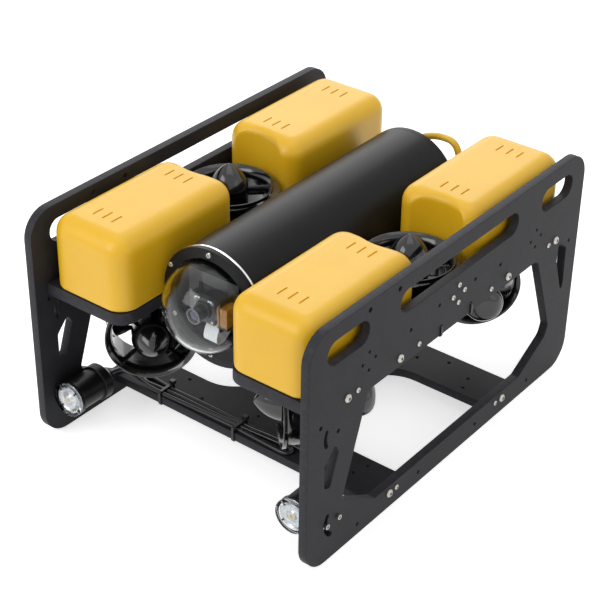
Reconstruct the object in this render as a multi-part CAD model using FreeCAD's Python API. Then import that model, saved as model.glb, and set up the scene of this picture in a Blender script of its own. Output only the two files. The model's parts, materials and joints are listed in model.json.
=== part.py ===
import FreeCAD, Part
import math
import os

os.makedirs("parts", exist_ok=True)

# Underwater inspection vehicle. Millimetres, +Z up, front towards -Y.
# Origin: on the ground, midway between the side panels and half way along them.

# frame
LENGTH = 457.0
WIDTH = 340.5
HEIGHT = 256.0
PANEL_T = 9.3
PANEL_R = 28.0
HALF_W = WIDTH / 2
PANEL_IN = HALF_W - PANEL_T
END_Y = LENGTH / 2
FLOOR_Z = 13.0
FLOOR_T = 9.5
FLOOR_Y0 = 73.5
FLOOR_Y1 = 125.5
SPINE_X = 35.0
SPINE_R = 45.0
# the shelves, floats, tube and thrusters hang from the top of the panels
SHELF_Z = HEIGHT - 92.0
SHELF_T = 12.7
TUBE_R = 57.5
SHELF_X = TUBE_R + 4.5
SHELF_Y = END_Y - 16.5
SHELF_R = 18.0

# floats
FLOAT_X = PANEL_IN - 4.95
FLOAT_Y0 = 44.5
FLOAT_Y1 = SHELF_Y - 0.5
FLOAT_TOP = HEIGHT - 2.0
FLOAT_GAP = 0.5
FLOAT_CORNER_R = 20.0
FLOAT_TOP_R = 19.5
RECESS_R = 54.5
RECESS_LIP = 8.5
GROOVE_PITCH = 12.0
GROOVE_L = 14.0
GROOVE_W = 2.0
GROOVE_D = 1.5

# watertight tube and dome
TUBE_Z = HEIGHT - 66.0
TUBE_WALL = 4.0
TUBE_Y0 = -END_Y + 78.5
TUBE_Y1 = END_Y - 68.5
CAP_T = 6.0
SPIGOT_L = 14.0
SPIGOT_GAP = 0.1
FLANGE_R = TUBE_R + 0.9
FLANGE_T = 3.5
RING_T = 4.5
DOME_R = TUBE_R - 10.5
DOME_WALL = 3.0
DOME_LIP_R = DOME_R + 3.5
DOME_LIP_T = 3.0
RING_SCREW_R = FLANGE_R - 4.0
CRADLE_R = TUBE_R + 8.5
CRADLE_T = 12.0
CRADLE_FLAT_Z = TUBE_Z - 30.0
FIT_GAP = 0.3

# camera on its tilt mount
TILT_Y = TUBE_Y0 - 8.0
CAMERA_W = 26.0
BOARD_T = 6.0
BARREL_R = 8.0
LENS_REACH = 25.0
TRAY_W = 76.0
TRAY_T = 3.0
TRAY_Z = TUBE_Z - 22.0
WINDOW_HALF = 18.0
ARM_T = 3.5
PIN_R = 2.0
HINGE_PLAY = 0.05
SERVO_W = 12.0
RIBBON_W = 16.0
RIBBON_T = 0.8

# thrusters, s runs from the inlet lip towards the tail
LIP_R = 46.0
DUCT_L = 48.0
DUCT_R = 43.0
BORE_R = 39.0
NOSE = 23.5
HUB_R = 20.0
STRUT_S0 = 3.0
STRUT_S1 = 14.0
STRUT_T = 3.4
HUB_BACK = 16.7
TAIL_S = 78.0
TAIL_END = 90.0
SHAFT_R = 6.0
SHAFT_PLAY = 0.05
TIP_GAP = 0.8
PAD_S = 19.5
PAD_W = 24.0
BLADES = 3
BLADE_S = 29.0
VERTICAL_X = PANEL_IN - 48.95
VERTICAL_Z = HEIGHT - 42.5
VECTOR_X = PANEL_IN - 81.65
VECTOR_Y = END_Y - 72.6
VECTOR_Z = SHELF_Z - 46.5
AFT_X = PANEL_IN - 78.95
AFT_Y = END_Y - 68.0

# lights
LIGHT_X = PANEL_IN - 19.05
LIGHT_Z = 48.4
LIGHT_FRONT = -END_Y + 11.5
BEZEL_R = 18.0
WINDOW_T = 7.0
WINDOW_EDGE_R = 2.2
COLLAR_T = 4.0
BOWL_DEPTH = 6.0
BODY_R = 16.5
BODY_L = 39.0
TAIL_RING_T = 10.0
TAIL_CONE_L = 8.0
LIGHT_GLAND_L = 4.0
TAIL_RING_R = 18.6
LIGHT_LENS_R = 14.5
PIVOT_Y = -END_Y + 46.1
PIVOT_Z = 43.1
ARC_R = 18.0
ARC_W = 5.2
LIGHT_SCREW_R = 2.1
SIDE_GAP = 0.3

# fasteners and cords
BIG_HEAD_R = 4.4
BIG_HEAD_H = 3.0
BIG_SHANK_R = 2.5
SMALL_HEAD_R = 2.8
SMALL_HEAD_H = 1.8
SMALL_SHANK_R = 1.5
SHANK_PLAY = 0.2
LEAD_R = 2.2
LEAD_Z = 24.9
TETHER_R = 3.75
TIE_W = 3.0
TIE_T = 1.2


def vec(x, y, z):
    return FreeCAD.Vector(x, y, z)


def block(x0, x1, y0, y1, z0, z1):
    return Part.makeBox(x1 - x0, y1 - y0, z1 - z0, vec(x0, y0, z0))


def rod(radius, start, end):
    run = end - start
    return Part.makeCylinder(radius, run.Length, start, run)


def save(node, shape):
    if isinstance(shape, list):
        shape = Part.makeCompound(shape)
    bad = [s for s in shape.Solids if not s.isValid() or s.Volume <= 0]
    if bad or not shape.Solids:
        raise ValueError(node + " is not a valid solid")
    shape.exportStep("parts/" + node + ".step")
    print(node, len(shape.Solids), round(shape.Volume / 1000, 2), "cm3")


def rounded(corners, place):
    # closed wire with an arc at every corner (u, v, radius)
    points = []
    count = len(corners)
    for i in range(count):
        u, v, r = corners[i]
        before = corners[i - 1]
        after = corners[(i + 1) % count]
        here = vec(u, v, 0)
        a = (vec(before[0], before[1], 0) - here).normalize()
        b = (vec(after[0], after[1], 0) - here).normalize()
        half = a.getAngle(b) / 2
        if r <= 0:
            points.append((here, None, here))
            continue
        reach = r / math.tan(half)
        centre = here + (a + b).normalize() * (r / math.sin(half))
        mid = centre + (here - centre).normalize() * r
        points.append((here + a * reach, mid, here + b * reach))
    edges = []
    for i in range(count):
        start, mid, end = points[i]
        if mid is not None:
            edges.append(Part.Arc(place(start), place(mid), place(end)).toShape())
        following = points[(i + 1) % count][0]
        if (following - end).Length > 1e-6:
            edges.append(Part.LineSegment(place(end), place(following)).toShape())
    return Part.Wire(edges)


def plate_x(wires, x, thickness):
    face = Part.makeFace(wires, "Part::FaceMakerBullseye")
    face.translate(vec(x, 0, 0))
    return face.extrude(vec(thickness, 0, 0))


def in_yz(p):
    return vec(0, p.x, p.y)


def in_xy(p):
    return vec(p.x, p.y, 0)


def ring_yz(y, z, radius):
    circle = Part.Circle(vec(0, y, z), vec(1, 0, 0), radius)
    return Part.Wire([circle.toShape()])


def stadium_yz(y0, y1, z0, z1, radius):
    corners = [(y0, z0, radius), (y1, z0, radius), (y1, z1, radius), (y0, z1, radius)]
    return rounded(corners, in_yz)


def arc_slot_yz(y, z, mid_r, width, first, last):
    # curved slot between two angles, measured from +Y towards +Z
    half = width / 2

    def at(radius, degrees):
        angle = math.radians(degrees)
        return vec(0, y + radius * math.cos(angle), z + radius * math.sin(angle))

    middle = (first + last) / 2
    end_turn = math.degrees(half / mid_r)
    edges = [
        Part.Arc(at(mid_r + half, first), at(mid_r + half, middle), at(mid_r + half, last)).toShape(),
        Part.Arc(at(mid_r + half, last), at(mid_r, last + end_turn), at(mid_r - half, last)).toShape(),
        Part.Arc(at(mid_r - half, last), at(mid_r - half, middle), at(mid_r - half, first)).toShape(),
        Part.Arc(at(mid_r - half, first), at(mid_r, first - end_turn), at(mid_r + half, first)).toShape(),
    ]
    return Part.Wire(edges)


def both_sides(shape):
    return shape.mirror(vec(0, 0, 0), vec(1, 0, 0))


def front_to_back(shape):
    return shape.mirror(vec(0, 0, 0), vec(0, 1, 0))


def button_screw(head_r, head_h, shank_r, reach):
    # domed head above z = 0, hexagon socket, shank below
    sphere_r = (head_r ** 2 + head_h ** 2) / (2 * head_h)
    ball = Part.makeSphere(sphere_r, vec(0, 0, head_h - sphere_r))
    head = ball.common(Part.makeCylinder(head_r, head_h, vec(0, 0, 0)))
    corner = head_r * 0.45
    hexagon = [vec(corner * math.cos(math.radians(60 * k)), corner * math.sin(math.radians(60 * k)),
                   head_h * 0.4) for k in range(7)]
    socket = Part.Face(Part.makePolygon(hexagon)).extrude(vec(0, 0, head_h))
    shank = Part.makeCylinder(shank_r, reach, vec(0, 0, -reach))
    return head.cut(socket).fuse(shank).removeSplitter()


def placed(shape, position, direction):
    copy = shape.copy()
    copy.Placement = FreeCAD.Placement(position, FreeCAD.Rotation(vec(0, 0, 1), direction))
    return copy


# ---------------------------------------------------------------- side panels
BIG_TOP = [-END_Y + 55.3, -93.7, 89.7, END_Y - 47.8]
SMALL_TOP = [-END_Y + 70.8, -63.4, 59.4, END_Y - 61.4]
BIG_TOP_Z = SHELF_Z + SHELF_T / 2
BIG_LOW = [-100.0, 100.0]
SMALL_LOW = [-88.0, 88.0]
LOW_Z = FLOOR_Z + FLOOR_T / 2
PAD_HOLE = 9.6
PAD_Z = VERTICAL_Z - PAD_S
RAIL_TIES = [24.0, -27.0]
WINDOW_TOP = SHELF_Z - 3.0
TIE_HOLE_Z = SHELF_Z + 7.0
SLOT_TOP = HEIGHT - 15.7

panel_edge = rounded([(-LENGTH / 2, 0, PANEL_R), (LENGTH / 2, 0, PANEL_R),
                      (LENGTH / 2, HEIGHT, PANEL_R), (-LENGTH / 2, HEIGHT, PANEL_R)], in_yz)
window = rounded([(-END_Y + 87.5, WINDOW_TOP, 7), (-END_Y + 52, 58, 7), (-END_Y + 105.5, 26, 5),
                  (END_Y - 96, 26, 5), (END_Y - 47.5, 53, 12), (END_Y - 43.5, 65, 4),
                  (END_Y - 80, WINDOW_TOP, 9)], in_yz)
# leg slots, given by their distance from the panel's end and top
front_leg = [(39.5, 127.5, 3), (45.0, 138.0, 3), (33.3, 172.0, 3), (24.9, 169.0, 3), (24.9, 143.0, 6)]
rear_leg = [(38.5, 92.0, 3), (22.0, 106.0, 4), (20.7, 148.0, 6), (23.0, 161.0, 2), (28.0, 147.0, 4),
            (39.2, 116.0, 8)]
LEG_PIVOT_Y = -END_Y + 43.5
LEG_PIVOT_Z = HEIGHT - 114.6
openings = [
    window,
    stadium_yz(-END_Y + 25, -END_Y + 85.5, SLOT_TOP - 25, SLOT_TOP, 12.3),
    stadium_yz(-96.5, 101.4, SLOT_TOP - 24.5, SLOT_TOP, 12.1),
    stadium_yz(END_Y - 83.5, END_Y - 24.5, SLOT_TOP - 25.8, SLOT_TOP - 0.3, 12.3),
    rounded([(-END_Y + d, HEIGHT - h, r) for d, h, r in front_leg], in_yz),
    rounded([(END_Y - d, HEIGHT - h, r) for d, h, r in rear_leg], in_yz),
    ring_yz(PIVOT_Y, PIVOT_Z, LIGHT_SCREW_R + SHANK_PLAY),
    arc_slot_yz(PIVOT_Y, PIVOT_Z, ARC_R, ARC_W, 150, 234),
    ring_yz(LEG_PIVOT_Y, LEG_PIVOT_Z, 2.3),
    ring_yz(-END_Y + 17.7, HEIGHT - 97.4, 2.3),
    arc_slot_yz(LEG_PIVOT_Y, LEG_PIVOT_Z, 18.5, 4.4, 155, 205),
    ring_yz(-END_Y + 85.2, HEIGHT - 9, 2.6),
    ring_yz(-99, HEIGHT - 9, 2.6),
]
for y, z in [(-77.7, HEIGHT - 63.3), (-31.9, HEIGHT - 59.5), (28.8, HEIGHT - 59.9), (73.6, HEIGHT - 64.8),
             (END_Y - 17.5, HEIGHT - 99.3), (-END_Y + 78, 12.5), (-50.5, 12.5), (50.5, 12.5),
             (END_Y - 78, 12.5), (RAIL_TIES[0], TIE_HOLE_Z), (RAIL_TIES[1], TIE_HOLE_Z)]:
    openings.append(ring_yz(y, z, 2.0))
for y, z, radius in [(-END_Y + 86.5, HEIGHT - 63.0, 1.7), (END_Y - 88.9, HEIGHT - 65.2, 1.7),
                     (0, PAD_Z, SMALL_SHANK_R + SHANK_PLAY)]:
    for dy, dz in [(PAD_HOLE, 0), (-PAD_HOLE, 0), (0, PAD_HOLE), (0, -PAD_HOLE)]:
        openings.append(ring_yz(y + dy, z + dz, radius))
for y in BIG_TOP:
    openings.append(ring_yz(y, BIG_TOP_Z, BIG_SHANK_R + SHANK_PLAY))
for y in SMALL_TOP:
    openings.append(ring_yz(y, BIG_TOP_Z, SMALL_SHANK_R + SHANK_PLAY))
for y in BIG_LOW:
    openings.append(ring_yz(y, LOW_Z, BIG_SHANK_R + SHANK_PLAY))
for y in SMALL_LOW:
    openings.append(ring_yz(y, LOW_Z, SMALL_SHANK_R + SHANK_PLAY))
panel = plate_x([panel_edge] + openings, PANEL_IN, PANEL_T)
save("side_panel_port", panel)
save("side_panel_starboard", both_sides(panel))

# fastener sets: heads on the outer faces, shanks through the panel into the plates
SHANK_REACH = PANEL_T + 12.0
big = button_screw(BIG_HEAD_R, BIG_HEAD_H, BIG_SHANK_R, SHANK_REACH)
small = button_screw(SMALL_HEAD_R, SMALL_HEAD_H, SMALL_SHANK_R, SHANK_REACH)
OUT = vec(1, 0, 0)
big_set = [placed(big, vec(HALF_W, y, BIG_TOP_Z), OUT) for y in BIG_TOP]
big_set += [placed(big, vec(HALF_W, y, LOW_Z), OUT) for y in BIG_LOW]
small_set = [placed(small, vec(HALF_W, y, BIG_TOP_Z), OUT) for y in SMALL_TOP]
small_set += [placed(small, vec(HALF_W, y, LOW_Z), OUT) for y in SMALL_LOW]
pad_screw = button_screw(SMALL_HEAD_R, SMALL_HEAD_H, SMALL_SHANK_R, PANEL_T + 3.5)
for dy, dz in [(PAD_HOLE, 0), (-PAD_HOLE, 0), (0, PAD_HOLE), (0, -PAD_HOLE)]:
    small_set.append(placed(pad_screw, vec(HALF_W, dy, PAD_Z + dz), OUT))
save("frame_bolts", big_set + [both_sides(s) for s in big_set])
save("frame_screws", small_set + [both_sides(s) for s in small_set])


def blind_hole(radius, y, z, depth):
    return rod(radius, vec(PANEL_IN - depth, y, z), vec(PANEL_IN + 1, y, z))


HOLE_DEPTH = SHANK_REACH - PANEL_T + 1.0

# ---------------------------------------------------------------- floor plates
TIE_X = [-100.5, -2.5]
TIE_SLOT_Y = -105.0
# one plate: two cross arms joined by a spine below the tube
floor_edge = rounded([(-PANEL_IN, -FLOOR_Y1, 0), (PANEL_IN, -FLOOR_Y1, 0), (PANEL_IN, -FLOOR_Y0, 0),
                      (SPINE_X, -FLOOR_Y0, SPINE_R), (SPINE_X, FLOOR_Y0, SPINE_R),
                      (PANEL_IN, FLOOR_Y0, 0), (PANEL_IN, FLOOR_Y1, 0), (-PANEL_IN, FLOOR_Y1, 0),
                      (-PANEL_IN, FLOOR_Y0, 0), (-SPINE_X, FLOOR_Y0, SPINE_R),
                      (-SPINE_X, -FLOOR_Y0, SPINE_R), (-PANEL_IN, -FLOOR_Y0, 0)], in_xy)
floor = Part.Face(floor_edge).extrude(vec(0, 0, FLOOR_T))
floor.translate(vec(0, 0, FLOOR_Z))
for radius, rows in ((BIG_SHANK_R + SHANK_PLAY, BIG_LOW), (SMALL_SHANK_R + SHANK_PLAY, SMALL_LOW)):
    for y in rows:
        side_hole = blind_hole(radius, y, LOW_Z, HOLE_DEPTH)
        floor = floor.cut(side_hole).cut(both_sides(side_hole))
for x, y in [(-64.2, -101.6), (0, -88.5), (64.2, -99.7), (96.5, -113), (-96.5, -84),
             (PANEL_IN - 27.95, -84), (PANEL_IN - 32.45, -101)]:
    drilled = rod(1.8, vec(x, y, FLOOR_Z - 1), vec(x, y, FLOOR_Z + FLOOR_T + 1))
    floor = floor.cut(drilled).cut(front_to_back(drilled))
for x in TIE_X:
    floor = floor.cut(block(x - TIE_W / 2 - 0.4, x + TIE_W / 2 + 0.4, TIE_SLOT_Y - 1.1,
                            TIE_SLOT_Y + 1.1, FLOOR_Z - 1, FLOOR_Z + FLOOR_T + 1))
save("floor_plate", floor)

# ---------------------------------------------------------------- shelves under the floats
shelf_edge = rounded([(SHELF_X, -SHELF_Y, SHELF_R), (PANEL_IN, -SHELF_Y, 0), (PANEL_IN, -FLOAT_Y0, 0),
                      (SHELF_X, -FLOAT_Y0, 10)], in_xy)
shelf = Part.Face(shelf_edge).extrude(vec(0, 0, SHELF_T))
shelf.translate(vec(0, 0, SHELF_Z))
shelf = shelf.cut(rod(RECESS_R, vec(VERTICAL_X, 0, 0), vec(VERTICAL_X, 0, HEIGHT)))


def shelf_holes(sign):
    cut = []
    for y in BIG_TOP:
        if y * sign > 0:
            cut.append(blind_hole(BIG_SHANK_R + SHANK_PLAY, y, BIG_TOP_Z, HOLE_DEPTH))
    for y in SMALL_TOP:
        if y * sign > 0:
            cut.append(blind_hole(SMALL_SHANK_R + SHANK_PLAY, y, BIG_TOP_Z, HOLE_DEPTH))
    return cut


front_shelf = shelf
for cutter in shelf_holes(-1):
    front_shelf = front_shelf.cut(cutter)
rear_shelf = front_to_back(shelf)
for cutter in shelf_holes(1):
    rear_shelf = rear_shelf.cut(cutter)
save("shelf_front_port", front_shelf)
save("shelf_front_starboard", both_sides(front_shelf))
save("shelf_rear_port", rear_shelf)
save("shelf_rear_starboard", both_sides(rear_shelf))

# ---------------------------------------------------------------- moulded floats
FLOAT_Z0 = SHELF_Z + SHELF_T + FLOAT_GAP
float_block = block(SHELF_X, FLOAT_X, -FLOAT_Y1, -FLOAT_Y0, FLOAT_Z0, FLOAT_TOP)
upright = [e for e in float_block.Edges if abs(e.Vertexes[0].Z - e.Vertexes[1].Z) > 1]
float_block = float_block.makeFillet(FLOAT_CORNER_R, upright)
top_edges = [e for e in float_block.Edges if e.BoundBox.ZMin > FLOAT_TOP - 0.01]
float_block = float_block.makeFillet(FLOAT_TOP_R, top_edges)
# the recess round the vertical thruster flares out at the top
low = vec(VERTICAL_X, 0, FLOAT_Z0 - 5)
wall_top = vec(VERTICAL_X + RECESS_R, 0, FLOAT_TOP - RECESS_LIP)
turn = RECESS_LIP * (1 - math.sqrt(0.5))
flare = Part.Arc(wall_top, wall_top + vec(turn, 0, RECESS_LIP * math.sqrt(0.5)),
                 vec(VERTICAL_X + RECESS_R + RECESS_LIP, 0, FLOAT_TOP))
rim = vec(VERTICAL_X + RECESS_R + RECESS_LIP, 0, FLOAT_TOP + 1)
recess_side = [Part.LineSegment(low, low + vec(RECESS_R, 0, 0)).toShape(),
               Part.LineSegment(low + vec(RECESS_R, 0, 0), wall_top).toShape(), flare.toShape(),
               Part.LineSegment(vec(rim.x, 0, FLOAT_TOP), rim).toShape(),
               Part.LineSegment(rim, vec(VERTICAL_X, 0, FLOAT_TOP + 1)).toShape(),
               Part.LineSegment(vec(VERTICAL_X, 0, FLOAT_TOP + 1), low).toShape()]
recess = Part.Face(Part.Wire(recess_side)).revolve(vec(VERTICAL_X, 0, 0), vec(0, 0, 1), 360)
buoy = float_block.cut(recess)
for x0 in [VERTICAL_X - 1.2 + k * GROOVE_PITCH for k in (-1, 0, 1)]:
    for y0 in (-FLOAT_Y0 - 31.5, -FLOAT_Y1 + 35.5):
        buoy = buoy.cut(block(x0 - GROOVE_W / 2, x0 + GROOVE_W / 2, y0 - GROOVE_L / 2,
                              y0 + GROOVE_L / 2, FLOAT_TOP - GROOVE_D, FLOAT_TOP + 1))
spacers = [rod(6, vec(x, y, SHELF_Z + SHELF_T), vec(x, y, FLOAT_Z0))
           for x in (SHELF_X + 28, FLOAT_X - 21) for y in (-FLOAT_Y0 - 55.5, -FLOAT_Y1 + 31.5)]
for spacer in spacers:
    buoy = buoy.fuse(spacer)
save("float_front_port", buoy)
save("float_front_starboard", both_sides(buoy))
save("float_rear_port", front_to_back(buoy))
save("float_rear_starboard", front_to_back(both_sides(buoy)))

# ---------------------------------------------------------------- watertight tube
BACK = vec(0, 1, 0)


def along(radius, y0, y1):
    return rod(radius, vec(0, y0, TUBE_Z), vec(0, y1, TUBE_Z))


bore = TUBE_R - TUBE_WALL
tube = along(TUBE_R, TUBE_Y0, TUBE_Y1).cut(along(bore, TUBE_Y0 - 1, TUBE_Y1 + 1))
save("main_tube", tube)
FLANGE_Y = TUBE_Y0 - FLANGE_T
RING_Y = FLANGE_Y - RING_T
spigot_r = bore - SPIGOT_GAP
flange = along(FLANGE_R, FLANGE_Y, TUBE_Y0).fuse(along(spigot_r, TUBE_Y0, TUBE_Y0 + SPIGOT_L))
flange = flange.cut(along(DOME_R - DOME_WALL, FLANGE_Y - 1, TUBE_Y0 + SPIGOT_L + 1))
ring = along(FLANGE_R, RING_Y, FLANGE_Y).cut(along(DOME_R + FIT_GAP, RING_Y - 1, FLANGE_Y + 1))
ring = ring.cut(along(DOME_LIP_R + FIT_GAP, FLANGE_Y - DOME_LIP_T - 0.1, FLANGE_Y + 1))
ring_screw = Part.makeCylinder(2.6, 2.6, vec(0, 0, 0)).cut(Part.makeCylinder(1.3, 2, vec(0, 0, 1.2)))
ring_screw = ring_screw.fuse(Part.makeCylinder(1.4, RING_T + 2.0, vec(0, 0, -RING_T - 2.0)))
ring_screws = []
for k in range(6):
    angle = math.radians(30 + 60 * k)
    at = vec(RING_SCREW_R * math.cos(angle), RING_Y, TUBE_Z + RING_SCREW_R * math.sin(angle))
    hole = rod(1.5, at - BACK, at + BACK * (RING_T + 2.4))
    ring = ring.cut(hole)
    flange = flange.cut(hole)
    ring_screws.append(placed(ring_screw, at, vec(0, -1, 0)))
save("front_flange", flange)
save("dome_retaining_ring", ring)
save("ring_screws", ring_screws)

ball = Part.makeSphere(DOME_R, vec(0, FLANGE_Y - DOME_LIP_T, TUBE_Z))
hollow = Part.makeSphere(DOME_R - DOME_WALL, vec(0, FLANGE_Y - DOME_LIP_T, TUBE_Z))
ahead = along(DOME_R + 5, FLANGE_Y - DOME_LIP_T - DOME_R - 5, FLANGE_Y - DOME_LIP_T)
dome_lip = along(DOME_LIP_R, FLANGE_Y - DOME_LIP_T, FLANGE_Y)
dome_lip = dome_lip.cut(along(DOME_R - DOME_WALL, FLANGE_Y - DOME_LIP_T - 1, FLANGE_Y + 1))
dome = ball.cut(hollow).common(ahead).fuse(dome_lip).removeSplitter()
save("dome", dome)

cap = along(TUBE_R, TUBE_Y1, TUBE_Y1 + CAP_T).fuse(along(spigot_r, TUBE_Y1 - SPIGOT_L, TUBE_Y1))
cap = cap.cut(along(bore - 6, TUBE_Y1 - SPIGOT_L - 1, TUBE_Y1 - 2))
save("rear_end_cap", cap)

# cradles carry the tube between the shelves
CRADLE_Y = RING_Y + 1.0


def cradle_at(y0, y1, bore_r):
    shape = along(CRADLE_R, y0, y1).common(block(-SHELF_X, SHELF_X, y0, y1, 0, TUBE_Z))
    for side in (-1, 1):
        ear = block(min(side * 50, side * SHELF_X), max(side * 50, side * SHELF_X), y0, y1,
                    CRADLE_FLAT_Z, SHELF_Z + SHELF_T)
        shape = shape.fuse(ear)
    upper = block(-SHELF_X - 1, SHELF_X + 1, y0 - 1, y1 + 1, SHELF_Z + SHELF_T, HEIGHT)
    return shape.cut(upper).cut(along(bore_r, y0 - 1, y1 + 1)).removeSplitter()


front_cradle = cradle_at(CRADLE_Y, CRADLE_Y + CRADLE_T, TUBE_R)
front_cradle = front_cradle.cut(along(FLANGE_R + FIT_GAP, CRADLE_Y - 1, TUBE_Y0 + FIT_GAP))
save("front_tube_cradle", front_cradle)
save("rear_tube_cradle", cradle_at(TUBE_Y1 - 20, TUBE_Y1 - 20 + CRADLE_T, TUBE_R))

# ---------------------------------------------------------------- camera and its tilt mount
tray = block(-TRAY_W / 2, TRAY_W / 2, TUBE_Y0 + SPIGOT_L, TUBE_Y1 - SPIGOT_L, TRAY_Z, TRAY_Z + TRAY_T)
tray = tray.fuse(block(-30, 30, TUBE_Y0 - 4, TUBE_Y0 + SPIGOT_L, TRAY_Z, TRAY_Z + TRAY_T))
tray = tray.fuse(block(-30, 30, TUBE_Y0 - 4, TUBE_Y0 - 1, TRAY_Z, TUBE_Z + 30))
tray = tray.cut(block(-WINDOW_HALF, WINDOW_HALF, TUBE_Y0 - 5, TUBE_Y0, TUBE_Z - WINDOW_HALF,
                      TUBE_Z + WINDOW_HALF))
tray = tray.removeSplitter()
save("camera_chassis", tray)

PLATE_Y = TUBE_Y0 - 4
ARM_X = CAMERA_W / 2 + ARM_T
servo = block(ARM_X + 1, ARM_X + 1 + SERVO_W, PLATE_Y - 16, PLATE_Y, TUBE_Z - 12, TUBE_Z + 11)
servo = servo.fuse(block(ARM_X + 3, ARM_X + 5, PLATE_Y - 16, PLATE_Y, TUBE_Z - 16, TUBE_Z + 15))
servo = servo.fuse(rod(3.0, vec(ARM_X + 1, TILT_Y, TUBE_Z), vec(CAMERA_W / 2, TILT_Y, TUBE_Z)))
save("tilt_servo", servo.removeSplitter())
post = block(-ARM_X - 4, -ARM_X - 1, TILT_Y - 5, PLATE_Y, TUBE_Z - 10, TUBE_Z + 10)
post = post.fuse(rod(PIN_R, vec(-ARM_X - 1, TILT_Y, TUBE_Z), vec(-CAMERA_W / 2, TILT_Y, TUBE_Z)))
save("hinge_post", post)

board_y = TILT_Y - 4
camera = block(-CAMERA_W / 2, CAMERA_W / 2, board_y - BOARD_T, board_y, TUBE_Z - 13, TUBE_Z + 13)
for side, pin in ((-1, PIN_R), (1, 3.0)):
    inner = side * CAMERA_W / 2
    outer = side * ARM_X
    arm = block(min(inner, outer), max(inner, outer), board_y - BOARD_T, TILT_Y, TUBE_Z - 6, TUBE_Z + 6)
    arm = arm.fuse(rod(6, vec(inner, TILT_Y, TUBE_Z), vec(outer, TILT_Y, TUBE_Z)))
    arm = arm.cut(rod(pin + HINGE_PLAY, vec(inner * 0.9, TILT_Y, TUBE_Z), vec(outer * 1.1, TILT_Y, TUBE_Z)))
    camera = camera.fuse(arm)
save("camera_module", camera.removeSplitter())
lens_back = board_y - BOARD_T
lens_front = TILT_Y - LENS_REACH
lens = along(BARREL_R - 1, lens_front + 6, lens_back).fuse(along(BARREL_R, lens_front, lens_front + 6))
lens = lens.fuse(along(BARREL_R + 1.5, lens_back - 3, lens_back))
lens = lens.cut(along(BARREL_R - 1.5, lens_front - 1, lens_front + 1.5))
save("camera_lens", lens.removeSplitter())

ribbon_path = [(board_y - 3, TUBE_Z - 13), (board_y - 9, TUBE_Z - 22), (board_y - 6, TUBE_Z - 30),
               (board_y + 6, TUBE_Z - 29), (board_y + 13, TRAY_Z)]
curve = Part.BSplineCurve()
curve.interpolate([vec(2, y, z) for y, z in ribbon_path])
strip = curve.toShape().extrude(vec(RIBBON_W, 0, 0))
ribbon = strip.Faces[0].makeOffsetShape(RIBBON_T, 0.01, fill=True)
ribbon = ribbon.cut(block(-5, 30, TILT_Y - 12, PLATE_Y + 6, TRAY_Z, TRAY_Z + TRAY_T))
ribbon = ribbon.cut(block(-14, 14, board_y - BOARD_T, board_y, TUBE_Z - 13, TUBE_Z + 13))
save("ribbon_cable", ribbon.Solids)

# ---------------------------------------------------------------- thrusters
# local frame: inlet faces +Z, lip plane at z = 0, mounting pad towards +X


def revolved(edges):
    return Part.Face(Part.Wire(edges)).revolve(vec(0, 0, 0), vec(0, 0, 1), 360)


def path_edges(points):
    # a point with a middle point makes an arc, the rest are straight
    edges = []
    for i in range(1, len(points)):
        start = points[i - 1][-1]
        end = points[i][-1]
        if len(points[i]) == 2:
            edges.append(Part.Arc(start, points[i][0], end).toShape())
        else:
            edges.append(Part.LineSegment(start, end).toShape())
    return edges


def at_s(radius, s):
    return vec(radius, 0, -s)


def duct():
    points = [
        [at_s(BORE_R, 12)],
        [at_s(BORE_R + 1.5, 5), at_s(LIP_R - 1.4, 0.3)],
        [at_s(LIP_R - 0.5, 0), at_s(LIP_R, 1.0)],
        [at_s(LIP_R, 3.5)],
        [at_s(LIP_R - 1.8, 6.0), at_s(DUCT_R, 9)],
        [at_s(DUCT_R, DUCT_L - 9)],
        [at_s(DUCT_R + 0.8, DUCT_L - 5), at_s(LIP_R - 0.6, DUCT_L - 1.5)],
        [at_s(LIP_R - 0.8, DUCT_L - 0.4), at_s(LIP_R - 1.8, DUCT_L)],
        [at_s(BORE_R + 1.2, DUCT_L - 4), at_s(BORE_R, DUCT_L - 10)],
        [at_s(BORE_R, 12)],
    ]
    return revolved(path_edges(points))


def nozzle(pad_reach):
    body = duct()
    hub = Part.makeCylinder(HUB_R, HUB_BACK - 1, at_s(0, HUB_BACK))
    hub = hub.cut(Part.makeCylinder(HUB_R - 3.0, HUB_BACK, at_s(0, HUB_BACK + 1)))
    # four streamlined struts between the hub and the duct
    middle = (STRUT_S0 + STRUT_S1) / 2
    nose_edge = vec(HUB_R - 1.5, 0, -STRUT_S0)
    tail_edge = vec(HUB_R - 1.5, 0, -STRUT_S1)
    left = Part.Arc(nose_edge, vec(HUB_R - 1.5, STRUT_T / 2, -middle), tail_edge).toShape()
    right = Part.Arc(tail_edge, vec(HUB_R - 1.5, -STRUT_T / 2, -middle), nose_edge).toShape()
    strut = Part.Face(Part.Wire([left, right])).extrude(vec(DUCT_R - HUB_R - 0.5, 0, 0))
    for k in range(4):
        turned = strut.copy()
        turned.rotate(vec(0, 0, 0), vec(0, 0, 1), 45 + 90 * k)
        hub = hub.fuse(turned)
    pad = block(DUCT_R - 6, pad_reach, -PAD_W / 2, PAD_W / 2, -PAD_S - PAD_W / 2, -PAD_S + PAD_W / 2)
    pad = pad.cut(Part.makeCylinder(DUCT_R - 1, 200, vec(0, 0, -100)))
    for dy, dz in [(PAD_HOLE, 0), (-PAD_HOLE, 0), (0, PAD_HOLE), (0, -PAD_HOLE)]:
        pad = pad.cut(rod(SMALL_SHANK_R + SHANK_PLAY, vec(pad_reach - 4.5, dy, -PAD_S + dz),
                          vec(pad_reach + 1, dy, -PAD_S + dz)))
    return body.fuse(hub).fuse(pad).removeSplitter()


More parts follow.
